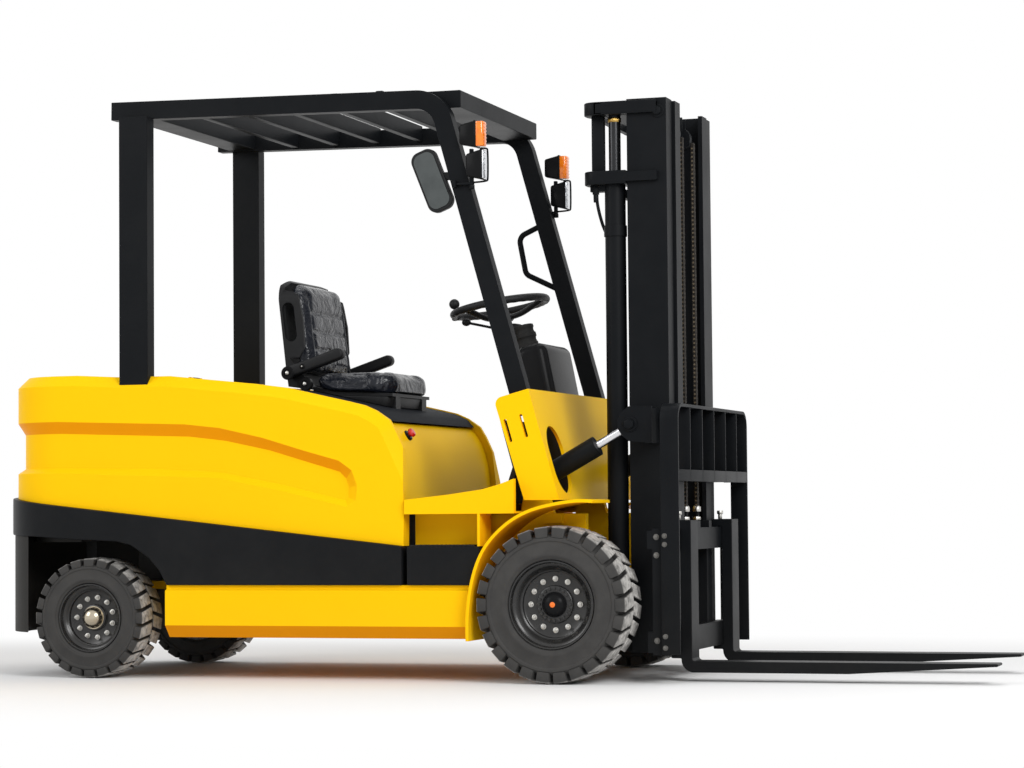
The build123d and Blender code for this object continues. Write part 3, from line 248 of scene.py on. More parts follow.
# name, colour, worn colour, gloss, mottle, mottle scale, grain scale, gloss change and bump
paintBlack = (0.0058, 0.0066, 0.0078)
# bodyYellow's deeper orange on faces that look down is painted shade
bodyYellow = coated("bodyYellow", (0.93, 0.555, 0.004), (0.92, 0.50, 0.003), 0.34, 0.25, 2.0, 260, 0.1, 0.01,
                    dustTop=0.3, dust=0.05, specular=0.02, under=(0.80, 0.30, 0.003))
satinBlack = coated("satinBlack", paintBlack, (0.0105, 0.0112, 0.0122), 0.4, 0.4, 5.0, 900, 0.2, 0.05,
                    dustTop=0.5, dust=0.03, specular=0.06)
bandBlack = coated("bandBlack", paintBlack, (0.013, 0.0135, 0.0145), 0.4, 0.4, 4.0, 700, 0.2, 0.04,
                   dustTop=0.7, dust=0.04, specular=0.08)
castBlack = coated("castBlack", (0.0125, 0.012, 0.011), (0.024, 0.023, 0.021), 0.55, 0.5, 9.0, 160, 0.2, 0.25,
                   dustTop=0.5, dust=0.06, specular=0.15)
frontRubber = coated("frontRubber", (0.038, 0.037, 0.036), (0.06, 0.058, 0.055), 0.68, 0.5, 14.0, 300, 0.15,
                     0.2, specular=0.2, tread=treadOf("tyre_front_right"))
rearRubber = coated("rearRubber", (0.036, 0.035, 0.034), (0.055, 0.053, 0.05), 0.66, 0.5, 14.0, 300, 0.15,
                    0.2, specular=0.2, tread=treadOf("tyre_rear_right"))
rimBlack = coated("rimBlack", (0.011, 0.0112, 0.0115), (0.02, 0.02, 0.02), 0.26, 0.4, 12.0, 700, 0.15, 0.05,
                  specular=0.45, dustTop=0.5, dust=0.05)
grainPlastic = coated("grainPlastic", (0.0095, 0.0098, 0.0105), (0.017, 0.017, 0.018), 0.45, 0.4, 8.0, 700,
                      0.1, 0.25, specular=0.16)
glossPlastic = coated("glossPlastic", (0.008, 0.0082, 0.0086), (0.013, 0.013, 0.014), 0.24, 0.4, 8.0, 500,
                      0.12, 0.04, specular=0.05)
hoodPlastic = coated("hoodPlastic", (0.014, 0.0155, 0.0185), (0.022, 0.024, 0.027), 0.5, 0.4, 5.0, 600, 0.15,
                     0.15, specular=0.01)
padVinyl = coated("padVinyl", (0.006, 0.0075, 0.012), (0.016, 0.0185, 0.026), 0.14, 0.6, 9.0, 380, 0.12, 0.06,
                  specular=0.28, wrinkle=0.8)
matRubber = coated("matRubber", (0.013, 0.013, 0.013), (0.03, 0.028, 0.026), 0.75, 0.5, 8.0, 300, 0.15, 0.3,
                   specular=0.2)
oiledSteel = coated("oiledSteel", (0.035, 0.030, 0.025), (0.014, 0.0125, 0.011), 0.4, 0.6, 60.0, 700, 0.2,
                    0.1, metal=0.6)
darkRod = coated("darkRod", (0.03, 0.031, 0.033), (0.02, 0.02, 0.021), 0.2, 0.4, 20.0, 900, 0.1, 0.01,
                 metal=0.8)
chromeSteel = coated("chromeSteel", (0.72, 0.72, 0.74), (0.6, 0.6, 0.61), 0.14, 0.3, 20.0, 900, 0.08, 0.01,
                     metal=1.0)
zincSteel = coated("zincSteel", (0.6, 0.59, 0.56), (0.42, 0.4, 0.36), 0.35, 0.5, 60.0, 500, 0.2, 0.06,
                   metal=1.0)
dullZinc = coated("dullZinc", (0.15, 0.145, 0.135), (0.08, 0.076, 0.07), 0.42, 0.5, 60.0, 500, 0.2, 0.06,
                  metal=0.85)
brassFitting = coated("brassFitting", (0.42, 0.27, 0.075), (0.25, 0.16, 0.05), 0.3, 0.4, 60.0, 500, 0.2, 0.05,
                      metal=1.0)
batteryCoat = coated("batteryCoat", (0.05, 0.055, 0.06), (0.09, 0.09, 0.09), 0.5, 0.4, 6.0, 400, 0.2, 0.1)
amberLens = coated("amberLens", (0.9, 0.22, 0.005), (0.75, 0.12, 0.0), 0.1, 0.5, 60.0, 300, 0.1, 0.02,
                   coat=0.5)
capBrass = coated("capBrass", (0.50, 0.44, 0.34), (0.36, 0.31, 0.23), 0.2, 0.4, 30.0, 500, 0.12, 0.03,
                  metal=1.0)
chainPin = coated("chainPin", (0.40, 0.32, 0.22), (0.2, 0.16, 0.11), 0.35, 0.5, 60.0, 500, 0.2, 0.05,
                  metal=0.9)
clearGlass = coated("clearGlass", (0.75, 0.77, 0.8), (0.6, 0.62, 0.65), 0.08, 0.4, 40.0, 300, 0.08, 0.02,
                    metal=0.7, coat=0.6)
mirrorGlass = coated("mirrorGlass", (0.10, 0.11, 0.11), (0.06, 0.066, 0.066), 0.12, 0.6, 9.0, 300, 0.05, 0.0,
                     metal=0.9)
signalRed = coated("signalRed", (0.6, 0.012, 0.008), (0.45, 0.01, 0.008), 0.3, 0.4, 30.0, 400, 0.1, 0.03,
                   coat=0.3)
markOrange = coated("markOrange", (0.9, 0.18, 0.01), (0.7, 0.12, 0.01), 0.45, 0.6, 120.0, 600, 0.2, 0.2)

finishes = {
    bodyYellow: ["frame", "body_cover", "seat_box", "fenders", "cowl"],
    bandBlack: ["body_band"],
    satinBlack: ["guard_sides", "guard_roof", "grab_handle", "outer_mast", "lift_barrels", "inner_mast",
                 "carriage", "backrest", "forks", "tilt_barrel_left", "tilt_barrel_right"],
    rimBlack: ["rim_front_left", "rim_front_right", "rim_rear_left", "rim_rear_right"],
    castBlack: ["counterweight", "drive_axle", "steer_axle", "knuckle_left", "knuckle_right"],
    frontRubber: ["tyre_front_left", "tyre_front_right"],
    rearRubber: ["tyre_rear_left", "tyre_rear_right"],
    grainPlastic: ["dash", "lamps", "mirror", "seat_frame", "steering_wheel"],
    hoodPlastic: ["hood"],
    padVinyl: ["seat_pads"],
    matRubber: ["floor"],
    oiledSteel: ["chain_front", "chain_rear"],
    darkRod: ["lift_rods"],
    chromeSteel: ["tilt_rod_left", "tilt_rod_right"],
    batteryCoat: ["battery"],
    amberLens: ["lamp_lenses"],
}
for material, names in finishes.items():
    for name in names:
        nodes[name].data.materials.clear()
        nodes[name].data.materials.append(material)
print("finishes on", sum(len(names) for names in finishes.values()), "nodes")


# modelling helpers
def clearSelection():
    if bpy.context.object and bpy.context.object.mode != "OBJECT":
        bpy.ops.object.mode_set(mode="OBJECT")
    bpy.ops.object.select_all(action="DESELECT")


def pick(piece):
    clearSelection()
    piece.select_set(True)
    bpy.context.view_layer.objects.active = piece


def linked(piece):
    bpy.context.scene.collection.objects.link(piece)
    return piece


def edited(piece, *steps):
    # runs (operator, settings) steps on the whole mesh
    pick(piece)
    bpy.ops.object.mode_set(mode="EDIT")
    for operator, settings in steps:
        bpy.ops.mesh.select_all(action="SELECT")
        operator(**settings)
    bpy.ops.object.mode_set(mode="OBJECT")
    return piece


weld = (bpy.ops.mesh.remove_doubles, {"threshold": 1e-5})
dropLoose = (bpy.ops.mesh.delete_loose, {"use_verts": True, "use_edges": True, "use_faces": False})
faceOutward = (bpy.ops.mesh.normals_make_consistent, {"inside": False})


def useModifier(piece, kind, **settings):
    pick(piece)
    modifier = piece.modifiers.new(kind.title(), kind)
    for key, value in settings.items():
        setattr(modifier, key, value)
    bpy.ops.object.modifier_apply(modifier=modifier.name)


def rounded(piece, width, segments=2, angle=40):
    useModifier(piece, "BEVEL", width=width, segments=segments, limit_method="ANGLE",
                angle_limit=math.radians(angle), use_clamp_overlap=True, miter_outer="MITER_ARC")
    return piece


def cutAway(piece, cutter):
    useModifier(piece, "BOOLEAN", operation="DIFFERENCE", object=cutter, solver="EXACT")
    bpy.data.objects.remove(cutter)


def settle(piece, centre, turn=None):
    # puts a freshly added piece in place and leaves its object at the origin
    pick(piece)
    piece.rotation_mode = "QUATERNION"
    if turn:
        piece.rotation_quaternion = turn
    piece.location = centre
    bpy.ops.object.transform_apply(location=True, rotation=True, scale=True)
    return piece


def addCube(centre, size):
    clearSelection()
    bpy.ops.mesh.primitive_cube_add(size=1)
    piece = bpy.context.object
    piece.scale = size
    return settle(piece, centre)


def addRod(start, end, radius, sides=24):
    run = Vector(end) - Vector(start)
    clearSelection()
    bpy.ops.mesh.primitive_cylinder_add(vertices=sides, radius=radius, depth=run.length)
    return settle(bpy.context.object, (Vector(start) + Vector(end)) / 2, run.to_track_quat("Z", "Y"))


def turned(profile, centre=(0, 0, 0), axis=(0, 1, 0), steps=64):
    # spins a closed outline of (radius, distance along the axis) points
    clearSelection()
    bpy.ops.mesh.primitive_circle_add(vertices=len(profile), radius=1)
    piece = bpy.context.object
    for vertex, (radius, along) in zip(piece.data.vertices, profile):
        vertex.co = (radius, 0, along)
    spin = {"steps": steps, "angle": math.tau, "center": (0, 0, 0), "axis": (0, 0, 1)}
    edited(piece, (bpy.ops.mesh.spin, spin), weld, dropLoose, faceOutward)
    return settle(piece, centre, Vector(axis).to_track_quat("Z", "Y"))


def twin(piece, move):
    other = piece.copy()
    other.data = piece.data.copy()
    other.data.transform(move)
    return linked(other)


def ringOf(piece, count, axis=(0, 1, 0)):
    # the piece and its copies spaced evenly round an axis through the origin
    turns = [Matrix.Rotation(math.tau * index / count, 4, Vector(axis)) for index in range(1, count)]
    return [piece] + [twin(piece, turn) for turn in turns]


def rowOf(piece, count, step):
    return [piece] + [twin(piece, Matrix.Translation(Vector(step) * index)) for index in range(1, count)]


def joined(pieces):
    clearSelection()
    for piece in pieces:
        piece.select_set(True)
    bpy.context.view_layer.objects.active = pieces[0]
    bpy.ops.object.join()
    return pieces[0]


def mirroredAcross(piece):
    # a copy on the other side of the truck, with its faces turned outward again
    return edited(twin(piece, Matrix.Scale(-1, 4, (0, 1, 0))), (bpy.ops.mesh.flip_normals, {}))


def bothSides(piece):
    return joined([piece, mirroredAcross(piece)])


def tubeAlong(points, radius, sides=12):
    data = bpy.data.curves.new("tubeRun", "CURVE")
    data.dimensions = "3D"
    data.bevel_depth = radius
    data.bevel_resolution = sides // 4
    data.use_fill_caps = True
    spline = data.splines.new("NURBS")
    spline.points.add(len(points) - 1)
    for spot, place in zip(spline.points, points):
        spot.co = (*place, 1)
    spline.order_u = 3
    spline.use_endpoint_u = True
    pick(linked(bpy.data.objects.new("tubeRun", data)))
    bpy.ops.object.convert(target="MESH")
    return bpy.context.object


def prism(outline, half):
    # an outline of (x, z) points drawn out to both sides of the truck's middle
    clearSelection()
    bpy.ops.mesh.primitive_circle_add(vertices=len(outline), radius=1, fill_type="NGON")
    piece = bpy.context.object
    for vertex, (x, z) in zip(piece.data.vertices, outline):
        vertex.co = (x, -half, z)
    across = {"TRANSFORM_OT_translate": {"value": (0, 2 * half, 0)}}
    return edited(piece, (bpy.ops.mesh.extrude_region_move, across), faceOutward)


def roundedPlan(piece, choose, amount):
    # rounds the chosen edges of a block
    pick(piece)
    bpy.ops.object.mode_set(mode="EDIT")
    bpy.ops.mesh.select_mode(type="EDGE")
    bpy.ops.mesh.select_all(action="DESELECT")
    bpy.ops.object.mode_set(mode="OBJECT")
    for edge in piece.data.edges:
        ends = [piece.data.vertices[index].co for index in edge.vertices]
        edge.select = choose((ends[0] + ends[1]) / 2, (ends[1] - ends[0]).normalized())
    bpy.ops.object.mode_set(mode="EDIT")
    bpy.ops.mesh.bevel(offset=amount, segments=6, affect="EDGES")
    bpy.ops.object.mode_set(mode="OBJECT")
    return piece


def bodyOf(node):
    return nodes[node]["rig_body"]


def dress(piece, name, node, material, stands=True, smooth=35):
    # names a finished piece, gives it its finish and lets it ride with the node it belongs to
    pick(piece)
    bpy.ops.object.shade_smooth_by_angle(angle=math.radians(smooth))
    piece.name = piece.data.name = name
    piece.data.materials.clear()
    piece.data.materials.append(material)
    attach(piece, bodyOf(node))
    if stands:
        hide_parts(node)
    return piece


def softened(node, width, segments, angle, flat=0.2, cut=None):
    # a merged copy of a CAD node with small rounded edges, cut before they are rounded
    piece = nodes[node].copy()
    piece.data = nodes[node].data.copy()
    piece.parent = None
    for key in [key for key in piece.keys() if key.startswith("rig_")]:
        del piece[key]
    edited(linked(piece), (bpy.ops.mesh.customdata_custom_splitnormals_clear, {}), weld)
    if cut:
        cut(piece)
    edited(piece, (bpy.ops.mesh.dissolve_limited, {"angle_limit": math.radians(flat)}))
    rounded(piece, width, segments, angle)
    dress(piece, node + "_coat", node, nodes[node].data.materials[0], smooth=32)
    useModifier(piece, "WEIGHTED_NORMAL", keep_sharp=True, weight=50)


# tyres: a spun carcass with chunky shoulder lugs
tyreShapes = {
    "front": {"lugs": 26, "sideDepth": 0.15, "edge": 0.0035},
    "rear": {"lugs": 24, "sideDepth": 0.14, "edge": 0.003},
}
# shares of a lug's pitch, of the tyre's radius and of its half width
lugLook = {"share": 0.76, "skew": 0.3, "treadDepth": 0.085, "sunk": 0.01, "shoulder": 0.985,
           "topOut": 0.955, "sideOut": 0.992, "middleOut": 0.05}
# steps of the sidewall: share of its height, share of the half width
wallSteps = ((0.16, 0.95), (0.2, 0.965), (0.3, 0.965), (0.34, 0.952), (0.80, 0.952), (0.86, 0.985),
             (0.95, 0.985))


def makeLug(shape, look, radius, half, sign, turn):
    clearSelection()
    bpy.ops.mesh.primitive_cube_add(size=2)
    lug = bpy.context.object
    pitch = math.tau / shape["lugs"]
    for vertex in lug.data.vertices:
        across, outer, top = (1 if value > 0 else -1 for value in vertex.co)
        angle = turn + pitch * across * look["share"] / 2
        if outer > 0:
            reach = radius * (look["shoulder"] if top > 0 else 1 - shape["sideDepth"])
            along = half * (look["topOut"] if top > 0 else look["sideOut"])
        else:
            reach = radius * (1.0 if top > 0 else 1 - look["treadDepth"] - look["sunk"])
            along = half * look["middleOut"]
            angle += pitch * look["skew"]
        vertex.co = (reach * math.cos(angle), sign * along, reach * math.sin(angle))
    return rounded(edited(lug, faceOutward), shape["edge"], 2, 20)


def makeTyre(shape, look, radius, half, bead):
    shoulder = radius * (1 - shape["sideDepth"])
    floor = radius * (1 - look["treadDepth"])
    wall = shoulder - bead
    flank = [(bead, 0.84), (bead + 0.003, 0.90), (bead + 0.010, 0.935)]
    flank += [(bead + share * wall, out) for share, out in wallSteps]
    flank += [(shoulder, 0.96), (shoulder + 0.3 * (floor - shoulder), 0.9), (floor, 0.6)]
    profile = [(r, half * t) for r, t in flank] + [(r, -half * t) for r, t in reversed(flank)]
    pieces = [turned(profile, steps=96)]
    for sign in (-1, 1):
        start = math.pi / shape["lugs"] if sign > 0 else 0.0
        pieces += ringOf(makeLug(shape, look, radius, half, sign, start), shape["lugs"])
    return joined(pieces)


for axle, material in (("front", frontRubber), ("rear", rearRubber)):
    size = halfSize(f"tyre_{axle}_right")
    bead = halfSize(f"rim_{axle}_right").z + 0.0004
    master = makeTyre(tyreShapes[axle], lugLook, size.z, size.y, bead)
    for side in ("left", "right"):
        node = f"tyre_{axle}_{side}"
        dress(twin(master, Matrix.Translation(middle(node))), f"{node}_lugged", node, material, smooth=28)
    bpy.data.objects.remove(master)
print("tyres made")

# rims: stepped dish, wheel nuts and a hub cap
rimShapes = {
    "front": {"nuts": 12, "nutCircle": 0.091, "nutSize": 0.0082, "disc": 0.115, "hub": 0.066, "cap": 0.043,
              "teeth": 20, "capFinish": glossPlastic, "dome": 0.026},
    "rear": {"nuts": 11, "nutCircle": 0.075, "nutSize": 0.0078, "disc": 0.098, "hub": 0.048, "cap": 0.040,
             "teeth": 0, "capFinish": capBrass, "dome": 0.038},
}
# distance of the lip and of the disc's face from the tyre's middle, as shares of its half width
rimLip = 0.84
rimFace = 0.36


def makeRim(shape, radius, half):
    lip = half * rimLip
    face = half * rimFace
    disc, hub, cap = (shape[key] for key in ("disc", "hub", "cap"))
    outline = [(radius, -lip), (radius, lip), (radius - 0.002, lip + 0.004), (radius - 0.007, lip + 0.004),
               (radius - 0.009, lip - 0.002), (radius - 0.011, lip - 0.012), (radius - 0.016, lip - 0.014),
               (radius - 0.022, lip - 0.02), (disc + 0.012, face + 0.022), (disc + 0.008, face + 0.016),
               (disc + 0.004, face + 0.014), (disc + 0.002, face + 0.004), (disc - 0.004, face),
               (hub + 0.002, face), (hub, face + 0.002), (hub, face + 0.012), (hub - 0.003, face + 0.014),
               (cap, face + 0.014), (cap, face - 0.012), (radius - 0.014, face - 0.012),
               (radius - 0.014, -lip)]
    return turned(outline, steps=72)


def makeNut(shape, half):
    face = half * rimFace
    size = shape["nutSize"]
    spot = shape["nutCircle"]
    nut = rounded(addRod((spot, face - 0.002, 0), (spot, face + 0.012, 0), size, 6), 0.0015)
    collar = rounded(addRod((spot, face - 0.002, 0), (spot, face + 0.003, 0), size * 1.25, 20), 0.001)
    stud = rounded(addRod((spot, face + 0.010, 0), (spot, face + 0.019, 0), size * 0.5, 14), 0.001)
    return joined([nut, collar, stud])


def makeCap(shape, half):
    base = half * rimFace + 0.012
    radius, rise = shape["cap"], shape["dome"]
    angles = [math.radians(18 * step) for step in range(6)]
    dome = [(radius * math.cos(angle), base + 0.004 + rise * math.sin(angle)) for angle in angles]
    dome[-1] = (0.0, dome[-1][1])
    return turned([(0.0, base), (radius + 0.003, base), (radius + 0.003, base + 0.004)] + dome, steps=40)


def makeTeeth(shape, half):
    face = half * rimFace + 0.013
    tooth = rounded(addCube((shape["hub"] - 0.0085, face, 0), (0.011, 0.014, 0.009)), 0.0015)
    return joined(ringOf(tooth, shape["teeth"]))


def makeMark(half):
    spot = half * rimFace + 0.041
    return turned([(0.0, spot), (0.010, spot), (0.008, spot + 0.0012), (0.0, spot + 0.0016)], steps=14)


outwardTurn = {"left": Matrix.Identity(4), "right": Matrix.Rotation(math.pi, 4, "Z")}
for axle, shape in rimShapes.items():
    half = halfSize(f"tyre_{axle}_right").y
    masters = {
        "dish": (makeRim(shape, halfSize(f"rim_{axle}_right").z, half), rimBlack),
        "nuts": (joined(ringOf(makeNut(shape, half), shape["nuts"])), zincSteel),
        "cap": (makeCap(shape, half), shape["capFinish"]),
    }
    if shape["teeth"]:
        masters["teeth"] = (makeTeeth(shape, half), rimBlack)
        masters["mark"] = (makeMark(half), markOrange)
    for side in ("left", "right"):
        node = f"rim_{axle}_{side}"
        place = Matrix.Translation(middle(f"tyre_{axle}_{side}")) @ outwardTurn[side]
        for label, (master, material) in masters.items():
            dress(twin(master, place), f"{node}_{label}", node, material, stands=label == "dish")
    for master, material in masters.values():
        bpy.data.objects.remove(master)
print("rims made")

# seat: cushions blown up by cloth simulation, then sewn channels pressed in
padShape = {"voxel": 0.006, "pressure": 4.0, "frames": 20, "cap": 0.010, "skin": 0.006}


def plump(piece, look, held):
    # voxel remesh, cloth pressure with the held points pinned, and a limit on how far a point moves
    useModifier(piece, "REMESH", mode="VOXEL", voxel_size=look["voxel"])
    starts = [vertex.co.copy() for vertex in piece.data.vertices]
    group = piece.vertex_groups.new(name="held")
    group.add([index for index, start in enumerate(starts) if held(start)], 1.0, "REPLACE")
    cloth = piece.modifiers.new("Cloth", "CLOTH")
    cloth.settings.use_pressure = True
    cloth.settings.uniform_pressure_force = look["pressure"]
    cloth.settings.effector_weights.gravity = 0
    cloth.settings.vertex_group_mass = "held"
    cloth.point_cache.frame_end = look["frames"]
    for step in range(1, look["frames"] + 1):
        bpy.context.scene.frame_set(step)
    pick(piece)
    bpy.ops.object.modifier_apply(modifier=cloth.name)
    bpy.context.scene.frame_set(1)
    for vertex, start in zip(piece.data.vertices, starts):
        move = vertex.co - start
        if move.length > look["cap"]:
            vertex.co = start + move.normalized() * look["cap"]
    piece.vertex_groups.clear()


def pressLines(piece, facing, depthOf, limit=0.55, slope=4):
    # pushes points on one face of a pad in along sewn lines
    for vertex in piece.data.vertices:
        side = vertex.normal.dot(facing)
        if side > limit:
            vertex.co -= facing * depthOf(vertex.co) * min(1.0, (side - limit) * slope)


def groove(distance, width, depth):
    return depth * math.exp(-(distance / width) ** 2)


cushionLook = {"x": (-0.690, -0.362), "half": 0.240, "top": 1.136, "corner": 0.095, "edge": 0.028,
               "underside": ((-0.715, 1.094), (-0.615, 1.068), (-0.362, 1.0575)), "lineWidth": 0.007,
               "rollX": -0.435, "rollDepth": 0.006, "seamY": 0.15, "seamEnd": -0.44, "seamDepth": 0.005}
backLook = {"half": 0.2225, "foot": 1.139, "thick": 0.050, "x": -0.727, "lean": 0.043, "corner": 0.080,
            "facing": (0.993, 0, 0.115), "edge": 0.018, "lines": (1.235, 1.305, 1.375), "lineWidth": 0.008,
            "lineDepth": 0.009, "borderInset": 0.055, "topRoll": 0.045}


def undersideAt(x, line):
    for (x0, z0), (x1, z1) in zip(line, line[1:]):
        if x <= x1:
            break
    return z0 + (z1 - z0) * (x - x0) / (x1 - x0)


def makeCushion(look):
    skin, half, line = padShape["skin"], look["half"], look["underside"]
    base = line[-1][1]
    low = Vector((look["x"][0] + skin, -half + skin, base))
    high = Vector((look["x"][1] - skin, half - skin, look["top"] - skin))
    block = addCube((low + high) / 2, high - low)
    roundedPlan(block, lambda spot, run: abs(run.z) > 0.9 and spot.x > -0.5, look["corner"])
    rounded(block, look["edge"], 5, 50)
    edited(block, (bpy.ops.mesh.bisect, {"plane_co": (line[1][0], 0, 0), "plane_no": (1, 0, 0)}))
    for vertex in block.data.vertices:
        if vertex.co.z < base + 0.030:
            vertex.co.z += undersideAt(vertex.co.x, line) - base
    plump(block, padShape, lambda spot: spot.z < undersideAt(spot.x, line) + 0.006)
    useModifier(block, "SMOOTH", factor=0.5, iterations=6)

    def sideSeams(spot):
        if spot.x < look["seamEnd"]:
            return groove(abs(abs(spot.y) - look["seamY"]), look["lineWidth"], look["seamDepth"])
        return 0

    def frontRoll(spot):
        return groove(abs(spot.x - look["rollX"]), look["lineWidth"], look["rollDepth"])

    for lines in (sideSeams, frontRoll):
        pressLines(block, Vector((0, 0, 1)), lines)
    useModifier(block, "SUBSURF", levels=1)
    return block


def makeBack(look):
    skin = padShape["skin"]
    lowZ, highZ = look["foot"], cornersOf("seat_pads")[1].z - skin
    half = look["half"] - skin
    block = addCube((0, 0, (lowZ + highZ) / 2), (look["thick"], 2 * half, highZ - lowZ))
    roundedPlan(block, lambda spot, run: abs(run.x) > 0.9 and spot.z > 1.3, look["corner"])
    rounded(block, look["edge"], 4, 50)
    for vertex in block.data.vertices:
        rise = (vertex.co.z - lowZ) / (highZ - lowZ)
        vertex.co.x += look["x"] - look["lean"] * rise
    foot, facing = Vector((look["x"], 0, lowZ)), Vector(look["facing"])
    plump(block, padShape, lambda spot: (spot - foot).dot(facing) < -0.018)
    useModifier(block, "SMOOTH", factor=0.5, iterations=8)

    def channels(spot):
        inner, width, depth = half - look["borderInset"], look["lineWidth"], look["lineDepth"]
        if spot.z > highZ - look["topRoll"]:
            return 0.0
        border = groove(abs(abs(spot.y) - inner), width, depth * 0.8)
        if abs(spot.y) > inner:
            return border
        return max([border] + [groove(abs(spot.z - line), width, depth) for line in look["lines"]])

    pressLines(block, facing, channels)
    useModifier(block, "SUBSURF", levels=1)
    return block


armLook = {"start": (-0.775, 1.1405), "end": (-0.572, 1.2075), "thick": 0.043, "width": 0.042, "y": 0.265}


def makeArm(side, look):
    (startX, startZ), (endX, endZ) = look["start"], look["end"]
    run = Vector((endX - startX, 0, endZ - startZ))
    centre = Vector(((startX + endX) / 2, side * look["y"], (startZ + endZ) / 2))
    arm = addCube((0, 0, 0), (run.length + look["thick"] * 0.96, look["width"], look["thick"]))
    roundedPlan(arm, lambda spot, along: abs(along.y) > 0.9, look["thick"] * 0.47)
    rounded(arm, 0.009, 3, 50)
    lean = Matrix.Rotation(-math.atan2(run.z, run.x), 4, "Y")
    arm.data.transform(Matrix.Translation(centre) @ lean)
    return arm


def makePivot(side, spot, radius, depth):
    # a round cover with a bolt head in it, its flat face outward
    outline = [(0, 0), (radius, 0), (radius, depth - 0.003), (radius - 0.003, depth), (radius * 0.55, depth),
               (radius * 0.5, depth - 0.002), (0, depth - 0.002)]
    cover = turned(outline, spot, (0, side, 0), 32)
    ends = [Vector(spot) + Vector((0, side * (depth + reach), 0)) for reach in (-0.003, 0.004)]
    return cover, rounded(addRod(*ends, radius * 0.3, 6), 0.001)


pads = {"seat_cushion": (makeCushion, cushionLook), "seat_back_pad": (makeBack, backLook)}
for name, (makePad, look) in pads.items():
    pad = dress(makePad(look), name, "seat_pads", padVinyl, smooth=60)
for label, side in (("left", 1), ("right", -1)):
    dress(makeArm(side, armLook), f"arm_rest_{label}", "seat_pads", grainPlastic, smooth=50)
    outside = side * (armLook["y"] + armLook["width"] / 2 - 0.002)
    for part, spot, radius in (("pivot", (-0.772, 1.139), 0.026), ("stop", (-0.712, 1.163), 0.011)):
        cover, head = makePivot(side, (spot[0], outside, spot[1]), radius, 0.006)
        dress(cover, f"arm_{part}_{label}", "seat_pads", glossPlastic, stands=False)
        dress(head, f"arm_{part}_bolt_{label}", "seat_pads", zincSteel, stands=False)
knobCover, knobHead = makePivot(-1, (-0.715, -0.2335, 1.098), 0.026, 0.022)
dress(knobCover, "recline_knob", "seat_frame", glossPlastic, stands=False)
dress(knobHead, "recline_knob_bolt", "seat_frame", zincSteel, stands=False)
softened("seat_frame", 0.004, 3, 35)
# moulded skirt that closes the seat rails between the hood and the cushion
skirtLook = {"side": ((-0.700, 1.0735), (-0.552, 1.0415), (-0.433, 1.0145), (-0.392, 1.0055), (-0.384, 1.045),
                      (-0.615, 1.055), (-0.700, 1.078)), "half": 0.208, "corner": 0.040, "edge": 0.003}


def makeSkirt(look):
    skirt = prism(look["side"], look["half"])
    roundedPlan(skirt, lambda spot, run: abs(run.y) < 0.1 and spot.x > -0.395, look["corner"])
    return rounded(skirt, look["edge"])


dress(makeSkirt(skirtLook), "seat_skirt", "seat_frame", grainPlastic, stands=False, smooth=40)
print("seat made")

# steering wheel: moulded rim with finger grips, bent spokes, a dished hub and a spinner knob
wheelLook = {"centre": (-0.019, 0, 1.385), "tilt": 10.0, "radius": 0.178, "grip": 0.0148, "grips": 30,
             "gripDepth": 0.0006, "spoke": 0.0105, "spokeWidth": 1.6, "knob": 0.02, "knobRise": 0.048,
             "spokeLine": ((0.02, 0, -0.046), (0.065, 0, -0.046), (0.120, 0, -0.026), (0.178, 0, 0)),
             "hub": ((0, -0.060), (0.038, -0.060), (0.043, -0.056), (0.043, -0.042), (0.036, -0.033),
                     (0.022, -0.029), (0, -0.027))}


def makeSteeringWheel(look):
    radius = look["radius"]
    clearSelection()
    bpy.ops.mesh.primitive_torus_add(major_radius=radius, minor_radius=look["grip"], major_segments=144,
                                     minor_segments=20)
    rim = bpy.context.object
    for vertex in rim.data.vertices:
        angle = math.atan2(vertex.co.y, vertex.co.x)
        if vertex.co.z < 0:
            vertex.co.z += look["gripDepth"] * (1 + math.cos(look["grips"] * angle))
    spoke = tubeAlong(look["spokeLine"], look["spoke"])
    for vertex in spoke.data.vertices:
        vertex.co.y *= look["spokeWidth"]
    spokes = ringOf(spoke, 3, (0, 0, 1))
    hub = turned(look["hub"], axis=(0, 0, 1), steps=48)
    stalk = rounded(addRod((-radius, 0, 0.006), (-radius, 0, 0.034), 0.0065), 0.001)
    clearSelection()
    bpy.ops.mesh.primitive_uv_sphere_add(segments=32, ring_count=18, radius=look["knob"])
    knob = settle(bpy.context.object, (-radius, 0, look["knobRise"]))
    clamp = rounded(addCube((-radius, 0, 0), (0.034, 0.03, 0.03)), 0.006, 3)
    wheel = joined([rim] + spokes + [hub, stalk, knob, clamp])
    turn = Matrix.Rotation(math.radians(-look["tilt"]), 4, "Y")
    wheel.data.transform(Matrix.Translation(look["centre"]) @ turn)
    return wheel


dress(makeSteeringWheel(wheelLook), "steering_wheel_moulded", "steering_wheel", grainPlastic, smooth=50)

# instrument cover with rounded shoulders, a stepped rubber boot and the column under the hub
dashLook = {"side": ((0.091, 1.0455), (0.246, 1.0455), (0.207, 1.240), (0.110, 1.226), (0.078, 1.171)),
            "half": 0.1795, "corner": 0.036, "bootCentre": (0.083, 0, 1.268), "bootAxis": (-30, 0, 120),
            "boot": ((0, -0.052), (0.041, -0.052), (0.041, -0.026), (0.038, -0.022), (0.0365, -0.014),
                     (0.038, -0.006), (0.041, -0.003), (0.041, 0.010), (0.037, 0.014), (0.0345, 0.022),
                     (0.036, 0.030), (0.0385, 0.034), (0.0375, 0.043), (0.033, 0.045), (0, 0.045)),
            "columnLine": ((0.092, 0, 1.240), (0.070, 0, 1.290), (0.034, 0, 1.298), (0.004, 0, 1.292),
                           (-0.004, 0, 1.308)),
            "column": 0.025, "collar": (0.026, 0.024), "hubFoot": 0.0605}


